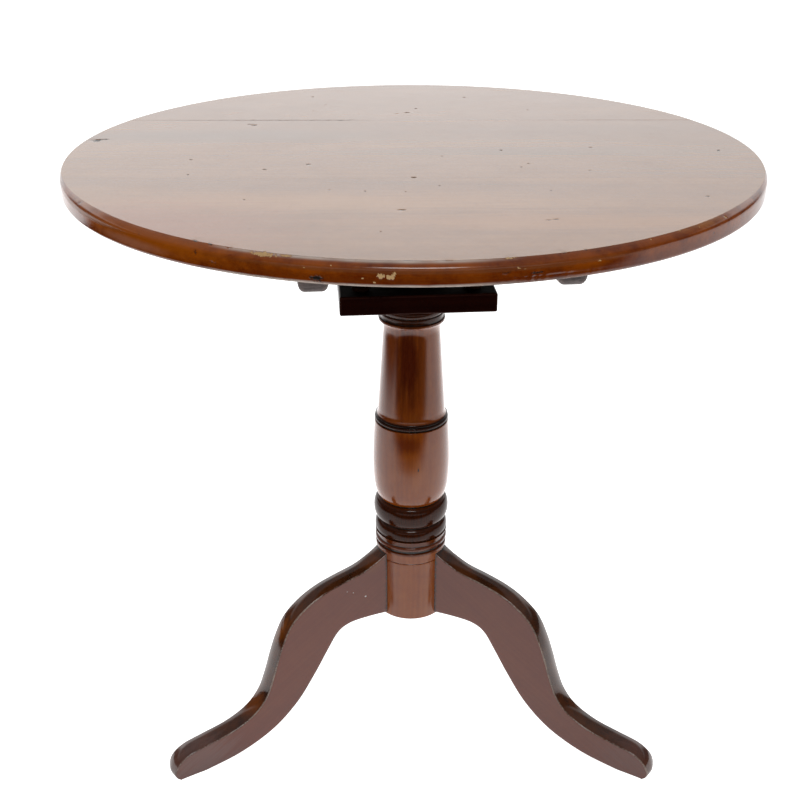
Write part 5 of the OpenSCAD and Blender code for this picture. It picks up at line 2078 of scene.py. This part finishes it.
@dataclass
class Pillar:
    """The turned pillar with its post, and the collar and the wedge on the post. Millimetres."""

    drum_r: float = 41.5
    drum_z: float = 135.0
    scribe_z: float = 214.0
    band_r: float = 42.2
    band_z: float = 227.5
    quirk_r: float = 39.7
    small_bead_z: float = 231.5
    cove_z: float = 237.0
    ring_r: float = 42.8
    ring_z: float = 244.0
    groove_r: float = 38.2
    big_bead_r: float = 44.1
    big_bead_z: float = 262.0
    barrel_r: float = 44.9
    barrel_z: float = 290.0
    barrel_top: float = 389.0
    barrel_top_r: float = 42.5
    incised_r: float = 40.5
    shaft_foot_r: float = 38.5
    shaft_foot_z: float = 405.0
    shaft_top_r: float = 32.1
    shaft_top_z: float = 501.4
    neck_r: float = 37.4
    neck_groove_r: float = 35.4
    shoulder_r: float = 41.0
    shoulder_z: float = 548.4
    journal_r: float = 21.0
    tongue_depth: float = 13.0
    tongue_neck: float = 10.0
    tongue_root: float = 15.0
    tongue_top: float = 218.0
    fit: float = 0.05
    segments: int = 192
    collar_segments: int = 96
    ease: float = 0.45
    leg_angles: tuple[int, ...] = (90, 210, 330)

    def foot_outline(self) -> Outline:
        """Draws the drum, the band, the small bead, the cove and the two big rings.

        Returns:
            The outline so far.
        """
        outline = Outline(0.0, self.drum_z)
        outline.to((self.drum_r - 1.5, self.drum_z), (self.drum_r, self.drum_z + 1.5),
                   (self.drum_r, self.scribe_z - 0.9), (self.drum_r - 0.8, self.scribe_z),
                   (self.band_r, self.scribe_z + 0.9), (self.band_r, self.band_z),
                   (self.quirk_r, self.band_z + 0.5), (self.quirk_r, self.small_bead_z))
        bead_r = self.band_r - 1.2
        outline.bead(bead_r, 1.8, self.small_bead_z, self.cove_z - self.small_bead_z, 10)
        outline.to((bead_r, self.cove_z + 1.5))
        outline.hollow((bead_r + 0.5, self.cove_z + 3.5), (self.ring_r, self.ring_z), 6)
        ring_h = self.big_bead_z - self.ring_z
        outline.curve([(self.ring_r - 2.2, self.ring_z), (self.ring_r - 0.5, self.ring_z + 0.16 * ring_h),
                       (self.ring_r, self.ring_z + 0.42 * ring_h),
                       (self.ring_r - 1.3, self.ring_z + 0.74 * ring_h),
                       (self.groove_r, self.big_bead_z - 1)])
        outline.to((self.groove_r, self.big_bead_z))
        bead_h = self.barrel_z - self.big_bead_z - 1
        outline.bead(self.groove_r, self.big_bead_r - self.groove_r, self.big_bead_z, bead_h, 24)
        return outline

    def outline(self) -> Outline:
        """Draws the whole pillar, from the drum up to the end of the post.

        Returns:
            The outline, closed at the axis.
        """
        outline = self.foot_outline()
        foot_r = self.groove_r - 0.8
        height = self.barrel_top - self.barrel_z
        outline.to((foot_r, self.barrel_z - 0.5), (foot_r, self.barrel_z))
        outline.curve([(foot_r + 0.5, self.barrel_z), (self.barrel_r - 3.7, self.barrel_z + 0.07 * height),
                       (self.barrel_r - 1.2, self.barrel_z + 0.2 * height),
                       (self.barrel_r, self.barrel_z + 0.43 * height),
                       (self.barrel_r - 0.3, self.barrel_z + 0.63 * height),
                       (self.barrel_r - 1.3, self.barrel_z + 0.84 * height),
                       (self.barrel_top_r, self.barrel_top)])
        outline.to((self.incised_r, self.barrel_top + 0.4), (self.incised_r, self.barrel_top + 1.7))
        ring_z = self.barrel_top + 1.7
        outline.bead(self.incised_r + 0.4, self.barrel_top_r - self.incised_r - 0.5, ring_z, 3.9, 10)
        quirk_z = ring_z + 4.0
        outline.to((self.incised_r, quirk_z), (self.incised_r, quirk_z + 1.2))
        flare_r, flare_z = self.barrel_top_r - 0.8, quirk_z + 1.5
        for k in range(11):
            angle = math.pi / 2 * k / 10
            outline.to((flare_r + (self.shaft_foot_r - flare_r) * math.sin(angle),
                        flare_z + (self.shaft_foot_z - flare_z) * (1 - math.cos(angle))))
        for k in range(1, 20):
            part = k / 20
            outline.to((self.shaft_foot_r + (self.shaft_top_r - self.shaft_foot_r) * part,
                        self.shaft_foot_z + (self.shaft_top_z - self.shaft_foot_z) * part))
        return self.neck(outline)

    def neck(self, outline: Outline) -> Outline:
        """Draws the neck's rings, the shoulder and the post on an outline.

        Args:
            outline: the outline as far as the shaft's top.

        Returns:
            The outline.
        """
        lip_z = self.shaft_top_z + 12
        groove_z = lip_z + 2.5
        bead_z = groove_z + 8
        outline.hollow((self.shaft_top_r, self.shaft_top_z), (self.neck_r, lip_z), 12)
        outline.to((self.neck_r, groove_z), (self.neck_groove_r, groove_z + 0.5),
                   (self.neck_groove_r, groove_z + 4.4), (self.neck_r - 1.2, groove_z + 4.8),
                   (self.neck_r - 1.2, groove_z + 6.8), (self.neck_groove_r, groove_z + 7.2))
        outline.bead(self.neck_groove_r, self.neck_r - self.neck_groove_r, bead_z, 7.5, 12)
        outline.hollow((self.neck_groove_r, bead_z + 9), (self.shoulder_r, self.shoulder_z - 2), 10)
        post_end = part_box("pillar")[1].z / MM
        pivot_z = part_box("cage_upper_plate")[0].z / MM - 4
        neck_z = pivot_z - 3
        outline.to((self.shoulder_r, self.shoulder_z), (self.journal_r, self.shoulder_z),
                   (self.journal_r, neck_z - 40), (self.journal_r, neck_z - 39), (15, neck_z),
                   (15, pivot_z), (12, pivot_z), (12, post_end - 1), (11, post_end), (0, post_end))
        return outline

    def tongue(self, grow: float) -> list[Point]:
        """Returns a leg tongue's outline from above, along +X, grown by a clearance.

        Args:
            grow: the clearance in millimetres.

        Returns:
            The four corners in metres.
        """
        inner = (self.drum_r - self.tongue_depth - grow) * MM
        outer = (self.drum_r + 1) * MM
        root, neck = (self.tongue_root / 2 + grow) * MM, (self.tongue_neck / 2 + grow) * MM
        return [(inner, -root), (outer, -neck), (outer, neck), (inner, root)]

    def build(self, red: Material, dark: Material, shop: Workshop) -> None:
        """Makes and dresses the pillar, the collar and the wedge.

        Args:
            red: the pillar's finish.
            dark: the finish of the collar and the wedge, near black as painted shade.
            shop: the trees with the lathe.
        """
        piece = shop.turn("turned_pillar", self.outline().eased(self.ease), red, self.segments, shift=3.3)
        cuts = [prism(self.tongue(self.fit), (self.drum_z - 1) * MM, (self.tongue_top + 0.4) * MM,
                      Matrix.Rotation(math.radians(angle), 4, "Z")) for angle in self.leg_angles]
        low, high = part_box("post_wedge")
        tip = high.z - 6 * MM
        mortise = [(low.x, low.z), (high.x, low.z), (high.x, tip + 0.4 * MM), (low.x, high.z + 0.4 * MM)]
        cuts.append(prism(mortise, low.y - self.fit * MM, high.y + self.fit * MM,
                          Matrix.Rotation(math.pi / 2, 4, "X") @ Matrix.Scale(-1, 4, (0, 0, 1))))
        cut_from(piece, cuts)
        face_outwards(piece.data)
        shade(piece.data, SHARP_TURNING)
        dress(piece, red, Slot.RED_WOOD, "pillar")
        self.collar(dark, shop)
        wedge = eased_copy("post_wedge", "oak_key", lambda edge: edge.calc_face_angle(0) > 0.7, 0.8 * MM)
        dress(wedge, dark, Slot.DARK_WOOD, "post_wedge")

    def collar(self, dark: Material, shop: Workshop) -> None:
        """Turns the loose collar round the post.

        Args:
            dark: its finish, near black as painted shade.
            shop: the trees with the lathe.
        """
        low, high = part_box("post_collar")
        outer, base, top = high.x / MM, low.z / MM, high.z / MM
        inner = self.journal_r + self.fit
        outline = Outline(inner, base)
        outline.to((outer - 1, base), (outer, base + 1), (outer, base + 5))
        outline.to((outer - 1.2, base + 5.6), (outer - 1.2, base + 6.6))
        outline.curve([(outer - 0.3, base + 7.2), (outer - 0.8, base + 10.5), (outer - 3.6, base + 13.6),
                       (outer - 7, top)], 5)
        outline.to((inner + 0.6, top), (inner, top - 0.6), (inner, base))
        piece = shop.turn("turned_collar", outline.eased(0.35, closed=True), dark,
                          self.collar_segments, shift=8.8)
        dress(piece, dark, Slot.DARK_WOOD, "post_collar")


# The legs


CORNER_ARRIS = (0.0, 0.8, 1.0, 0.8, 0.0)
SIDE_PARTS = (0.06, 0.2, 0.4, 0.6, 0.8, 0.94)
FACE_PARTS = ((0.8, 0.54, 0.27, 0.0, -0.27, -0.54, -0.8), SIDE_PARTS, (-0.86, -0.4, 0.4, 0.86), SIDE_PARTS)


@dataclass
class Legs:
    """The three sawn cabriole legs, their arrises softened by hand. Millimetres.

    A leg is a row of ribs across it. CORNER_ARRIS has the arris value of the points round each corner
    of a rib, which draws real wear and a painted highlight line, and FACE_PARTS the places of the points on
    its top edge, its sides and its underside.
    """

    pillar: Pillar
    thickness: float = 24.0
    top_arris: float = 2.0
    low_arris: float = 1.6
    crown: float = 2.2
    root_arris: float = 0.5
    toe_round: float = 6.0
    toe_knot: int = 16
    shoulder_fade: float = 14.0
    grime_reach: Point = (39.0, 46.0)
    grime_height: float = 3.0
    plank_run: Point = (285.0, -170.0)
    tongue_foot: float = 141.0
    ribs_per_knot: int = 6
    upper_knots: tuple[Point, ...] = (
        (38.7, 223), (52.5, 216.5), (73.5, 208), (100.4, 202.2), (126.5, 195), (149.5, 183.4),
        (168.8, 166.8), (181.3, 144), (190.3, 119.8), (198.2, 95.2), (207.8, 73.2), (223.9, 56),
        (249, 44.2), (280.4, 38), (303.9, 33.4), (318.3, 24.6), (325, 12), (323.5, 4), (318, 0))
    under_knots: tuple[Point, ...] = (
        (38.7, 139), (70, 141), (93, 140), (108, 132), (122, 112), (140, 84), (164, 52), (197, 25),
        (240, 7.5), (286, 0))
    pairs: tuple[Point, ...] = (
        (0, 0), (1, 0.55), (2, 1.3), (3, 1.95), (4, 2.6), (5, 3.0), (6, 3.55), (7, 4.1), (8, 4.65),
        (9, 5.2), (10, 5.75), (11, 6.4), (12, 7.25), (13, 8.15), (14, 8.8), (15, 9.3), (16, 9.65),
        (17, 9.85), (18, 9.97))

    def under(self, at: float) -> Point:
        """Returns a point of the underside, counted in knots, the flat pad last.

        Args:
            at: how far along it is.

        Returns:
            Its reach and height.
        """
        last = len(self.under_knots) - 1
        if at <= last:
            return spline(self.under_knots, at)
        start, end = self.under_knots[-1], self.upper_knots[-1]
        return start[0] + (end[0] - start[0]) * (at - last), 0.0

    def top_edge(self) -> list[bool]:
        """Says, for each point of a rib, whether it lies on the top edge.

        Returns:
            The marks, in the order of the rib's points.
        """
        marks = []
        for corner, parts in enumerate(FACE_PARTS):
            marks += [(corner == 0 and k > 0) or (corner == 1 and k < 4) for k in range(len(CORNER_ARRIS))]
            marks += [corner == 0] * len(parts)
        return marks

    def rib(self, top: Point, under: Point, soft: float) -> tuple[list[Place], list[float]]:
        """Makes one rounded rib between a top point and an underside point.

        Args:
            top: the point of the top edge, as reach and height.
            under: the point of the underside.
            soft: the radius of the arrises.

        Returns:
            The rib's points as reach, side and height, and the arris value of each.
        """
        up = Vector(top) - Vector(under)
        length = max(up.length, 0.02)
        up = up.normalized() if up.length > 1e-6 else Vector((0.0, 1.0))
        half = self.thickness / 2
        r = min(soft, 0.42 * length)
        s = r * self.low_arris / self.top_arris
        drop = min(self.crown * soft / self.top_arris, 0.3 * length)
        lean = math.atan2(2 * drop, half)
        shoulder = length - drop * ((half - r) / half) ** 2 - r
        centres = ((half - r, shoulder), (-(half - r), shoulder), (-(half - s), s), (half - s, s))
        points = []
        arris = []
        for corner, (cw, cl) in enumerate(centres):
            start, turn = ((0.0, math.pi / 2 - lean), (math.pi / 2 + lean, math.pi / 2 - lean),
                           (math.pi, math.pi / 2), (1.5 * math.pi, math.pi / 2))[corner]
            size = r if corner < 2 else s
            for k, wear_and_highlight in enumerate(CORNER_ARRIS):
                angle = start + turn * k / 4
                points.append((cw + size * math.cos(angle), cl + size * math.sin(angle)))
                arris.append(wear_and_highlight)
            for part in FACE_PARTS[corner]:
                if corner == 0:
                    points.append((part * half, length - drop * part ** 2))
                elif corner == 2:
                    points.append((part * (half - s), 0.0))
                else:
                    way = s + (1 - part if corner == 1 else part) * (shoulder - s)
                    points.append((-half if corner == 1 else half, way))
                arris.append(0.0)
        placed = [(under[0] + up.x * way, side, under[1] + up.y * way) for side, way in points]
        return placed, arris

    def shape(self, seed: float) -> tuple[np.ndarray, list[tuple[int, ...]], np.ndarray, ...]:
        """Makes one leg's mesh along +X.

        Args:
            seed: varies the hand-cut unevenness from leg to leg.

        Returns:
            Its points in millimetres, its faces, and its points' arris, hollow and soaked values.
        """
        last = len(self.upper_knots) - 1
        count = last * self.ribs_per_knot
        keys = np.array(self.pairs)
        points: list[Place] = []
        arris: list[float] = []
        for k in range(count + 1):
            at = k / self.ribs_per_knot
            top = spline(self.upper_knots, at)
            under = self.under(float(np.interp(at, keys[:, 0], keys[:, 1])))
            wobble = 0.35 * noise.noise(Vector((at * 0.9, seed, 0.0))) * min(1.0, max(0.0, (15 - at) / 3))
            top = (top[0] - abs(wobble) * 0.5, max(0.0, top[1] + wobble * 0.5))
            soft = self.root_arris + (self.top_arris - self.root_arris) * min(1.0, at / 2)
            rib, wear_and_highlight = self.rib(top, (under[0], max(0.0, under[1])), soft)
            points += rib
            arris += wear_and_highlight
        ring = len(points) // (count + 1)
        faces = [tuple(reversed(range(ring)))]
        for k in range(count):
            a, b = k * ring, (k + 1) * ring
            faces += [(a + i, a + (i + 1) % ring, b + (i + 1) % ring, b + i) for i in range(ring)]
        faces.append(tuple(count * ring + i for i in range(ring)))
        places = np.array(points)
        soaked = np.tile(np.array(self.top_edge(), float), count + 1)
        return self.fitted(places), faces, np.array(arris), self.hollows(places), soaked

    def fitted(self, places: np.ndarray) -> np.ndarray:
        """Hollows the shoulder to the drum and rounds the toe in plan.

        Args:
            places: the leg's points as reach, side and height.

        Returns:
            The points moved.
        """
        reach, side, height = places.T
        drum = np.where(height > self.pillar.scribe_z, self.pillar.band_r, self.pillar.drum_r)
        meet = np.sqrt((drum + self.pillar.fit) ** 2 - side ** 2)
        root = self.upper_knots[0][0]
        fade = np.clip(1 - (reach - root) / self.shoulder_fade, 0, 1)
        reach = reach + (meet - root) * fade
        toe = self.upper_knots[self.toe_knot][0]
        into = np.clip(reach - (toe - self.toe_round), 0, self.toe_round)
        narrow = self.thickness / 2 - self.toe_round + np.sqrt(self.toe_round ** 2 - into ** 2 * 0.98)
        return np.column_stack([reach, side * narrow / (self.thickness / 2), height])

    def hollows(self, places: np.ndarray) -> np.ndarray:
        """Returns how much grime settles at each point, most of it where the leg meets the drum.

        Args:
            places: the leg's points as reach, side and height.

        Returns:
            From 0 to 1 for each.
        """
        reach, _, height = places.T
        start, end = self.grime_reach
        at_drum = np.clip(1 - (reach - start) / (end - start), 0, 1) * 0.75
        at_floor = np.clip(1 - height / self.grime_height, 0, 1) * 0.5
        return np.maximum(at_drum, at_floor)

    def build(self, material: Material) -> None:
        """Makes and dresses the three legs.

        Args:
            material: their finish.
        """
        slope = math.atan2(self.plank_run[1], self.plank_run[0])
        along = np.array([math.cos(slope), 0.0, math.sin(slope)])
        through = np.array([-math.sin(slope), 0.0, math.cos(slope)])
        for number, (name, angle) in enumerate(zip(("back", "left", "right"), self.pillar.leg_angles)):
            places, faces, arris, hollow, soaked = self.shape(4.0 * number + 1)
            mesh = bpy.data.meshes.new(f"sawn_leg_{name}")
            mesh.from_pydata([tuple(place) for place in places * MM], [], faces)
            for title, values in (("arris", arris), ("hollow", hollow), ("soaked", soaked)):
                put_attribute(mesh, title, values)
            face_outwards(mesh)
            tongue = prism(self.pillar.tongue(0.0), self.tongue_foot * MM, self.pillar.tongue_top * MM,
                           Matrix.Identity(4))
            join_into(mesh, [tongue])
            placed = places_of(mesh)
            grain = np.column_stack([placed @ along + 2.2 * number + 6, placed @ through, placed[:, 1]])
            put_attribute(mesh, "grain", grain)
            shade(mesh, 38.0)
            mesh.transform(Matrix.Rotation(math.radians(angle), 4, "Z"))
            piece = new_object(mesh.name, mesh)
            dress(piece, material, Slot.RED_WOOD, f"leg_{name}")


# The studio


@dataclass
class Studio:
    """A plain pale floor, soft light from all round and the camera."""

    lens: float = 54.79
    stand: Place = (-0.0162, -1.2652, 1.0114)
    pitch: float = 25.38
    yaw: float = 0.14
    floor_half: float = 14.0
    floor_glow: float = 1.12
    card_back_y: float = 2.0
    card_z: float = 0.002
    card_near_y: float = -0.46
    card_black_y: float = -0.88
    card_left_x: float = -1.05
    lamp_stand: Place = (0.1, -3.0, 3.4)
    lamp_aim: Place = (0.0, 0.0, 0.45)
    lamp_size: Point = (1.5, 1.1)
    lamp_power: float = 45.0

    def camera(self) -> None:
        """Sets up the camera at the photograph's place and angle."""
        yaw, pitch = math.radians(self.yaw), math.radians(self.pitch)
        forward = Vector((math.sin(yaw) * math.cos(pitch), math.cos(yaw) * math.cos(pitch),
                          -math.sin(pitch)))
        right = Vector((math.cos(yaw), -math.sin(yaw), 0.0))
        data = bpy.data.cameras.new("camera")
        data.lens = self.lens
        data.sensor_width = 36.0
        camera = new_object("camera", data)
        turn = Matrix((right, right.cross(forward), -forward)).transposed().to_4x4()
        camera.matrix_world = Matrix.Translation(self.stand) @ turn
        bpy.context.scene.camera = camera

    def world(self) -> None:
        """Lights the scene from all round: bright behind and at the horizon, dim in front."""
        world = bpy.data.worlds.new("studio light")
        world.use_nodes = True
        bpy.context.scene.world = world
        sheet = NodeSheet(world.node_tree)
        background = world.node_tree.nodes["Background"]
        way = sheet.split(sheet.add("ShaderNodeTexCoord").outputs["Generated"])
        height = way["Z"]
        path = sheet.add("ShaderNodeLightPath").outputs
        fading = sheet.between(path["Is Glossy Ray"], sheet.step(height, 0.42, 0.72, 1.0, 0.28),
                               sheet.step(height, 0.39, 0.54, 1.0, 0.16))
        low = sheet.times(sheet.step(height, 0.14, 0.36, 1.5, 1.95), fading)
        low = sheet.times(low, sheet.step(way["X"], 0.0, 0.4, 1.0, 0.86))
        behind = sheet.times(sheet.step(way["Y"], -0.35, 0.75), low)
        around = sheet.math("MAXIMUM", behind, sheet.step(height, 0.05, 0.22, 0.95, 0.0))
        aside = sheet.times(sheet.step(sheet.math("ABSOLUTE", way["X"]), 0.62, 0.80),
                            sheet.fall(height, 0.34, 0.48))
        around = sheet.times(around, sheet.minus(1.0, aside))
        light = sheet.math("MAXIMUM", around, sheet.step(height, 0.3, 0.8, 0.10, 0.35))
        sheet.feed(background.inputs["Strength"], sheet.between(path["Is Camera Ray"], light, 1.0))
        background.inputs["Color"].default_value = (1.0, 1.0, 1.0, 1.0)

    def plane(self, name: str, back: float, height: float,
              material: Material) -> Object:
        """Lays a wide level plane.

        Args:
            name: its name.
            back: where its back edge lies.
            height: how high it lies.
            material: its finish.

        Returns:
            The plane.
        """
        half = self.floor_half
        mesh = bpy.data.meshes.new(name)
        mesh.from_pydata([(-half, -half, height), (half, -half, height), (half, back, height),
                          (-half, back, height)], [], [(0, 1, 2, 3)])
        mesh.materials.append(material)
        return new_object(name, mesh)

    def floor(self) -> None:
        """Lays the pale floor, which glows a little for all but the light that it scatters."""
        material, sheet, shader = new_material("pale floor")
        place = sheet.object_place()
        faint = sheet.step(sheet.noise(place, 1.5, 3.0), 0.2, 0.8)
        sheet.feed(shader.inputs["Base Color"], sheet.blend(faint, (0.80, 0.80, 0.80), (0.82, 0.815, 0.81)))
        shader.inputs["Roughness"].default_value = 0.9
        shader.inputs["Emission Color"].default_value = (1.0, 1.0, 1.0, 1.0)
        soft = sheet.add("ShaderNodeLightPath").outputs["Is Diffuse Ray"]
        glow = sheet.times(sheet.step(sheet.split(place)["X"], 0.7, 1.3, 1.0, 0.7), self.floor_glow)
        sheet.feed(shader.inputs["Emission Strength"], sheet.between(soft, glow, 0.0))
        self.plane("studio_floor", self.floor_half, 0.0, material)

    def card(self) -> None:
        """Lays a black card on the floor in front and on the left, seen in the varnish only."""
        material, sheet, _ = new_material("black card")
        where = sheet.split(sheet.object_place())
        skewed = sheet.plus(where["Y"], sheet.times(sheet.math("MAXIMUM", where["X"], 0.0), 0.16))
        in_front = sheet.fall(skewed, self.card_black_y, self.card_near_y)
        at_left = sheet.times(sheet.fall(where["X"], self.card_left_x - 0.4, self.card_left_x),
                              sheet.fall(where["Y"], 0.95, 1.3))
        clear = sheet.add("ShaderNodeBsdfTransparent").outputs[0]
        black = sheet.add("ShaderNodeEmission", {"Strength": 0.0}).outputs[0]
        cover = sheet.add("ShaderNodeMixShader",
                          {0: sheet.math("MAXIMUM", in_front, at_left), 1: clear, 2: black}).outputs[0]
        sheet.feed(material.node_tree.nodes["Material Output"].inputs["Surface"], cover)
        card = self.plane("black_card", self.card_back_y, self.card_z, material)
        card.visible_camera = False
        card.visible_diffuse = False
        card.visible_shadow = False
        card.visible_transmission = False

    def lamp(self) -> None:
        """Hangs one soft light in front, which faces the top of the pillar."""
        data = bpy.data.lights.new("front_softbox", "AREA")
        data.shape = "RECTANGLE"
        data.size, data.size_y = self.lamp_size
        data.energy = self.lamp_power
        lamp = new_object("front_softbox", data)
        aim = Vector(self.lamp_aim) - Vector(self.lamp_stand)
        turn = aim.to_track_quat("-Z", "Y").to_matrix().to_4x4()
        lamp.matrix_world = Matrix.Translation(self.lamp_stand) @ turn

    def build(self) -> None:
        """Builds the studio."""
        bpy.context.scene.view_settings.view_transform = "Standard"
        self.camera()
        self.world()
        self.floor()
        self.card()
        self.lamp()


def main() -> None:
    """Builds the table and the studio, each sub-assembly in turn."""
    logging.basicConfig(level=logging.INFO, format="%(name)s: %(message)s")
    effects = SharedEffects()
    shop = Workshop()
    top = TOP_VARNISH.material(effects)
    red = RED_VARNISH.material(effects)
    legs = LEG_VARNISH.material(effects)
    dark = DARK_STAIN.material(effects)
    inner = CAGE_PAINTED_SHADE.material(effects)
    brass = AGED_BRASS.material(effects)
    steel = SCREW_STEEL.material(effects)
    wire = SPRING_WIRE.material(effects)
    pillar = Pillar()
    pillar.build(red, inner, shop)
    Legs(pillar).build(legs)
    Cage().build(dark, inner, brass, shop)
    Battens().build(BATTEN_STAIN.material(effects), steel, shop)
    Catch().build(brass, wire, shop)
    TopBoards().build(top)
    Studio().build()


if __name__ == "__main__":
    main()
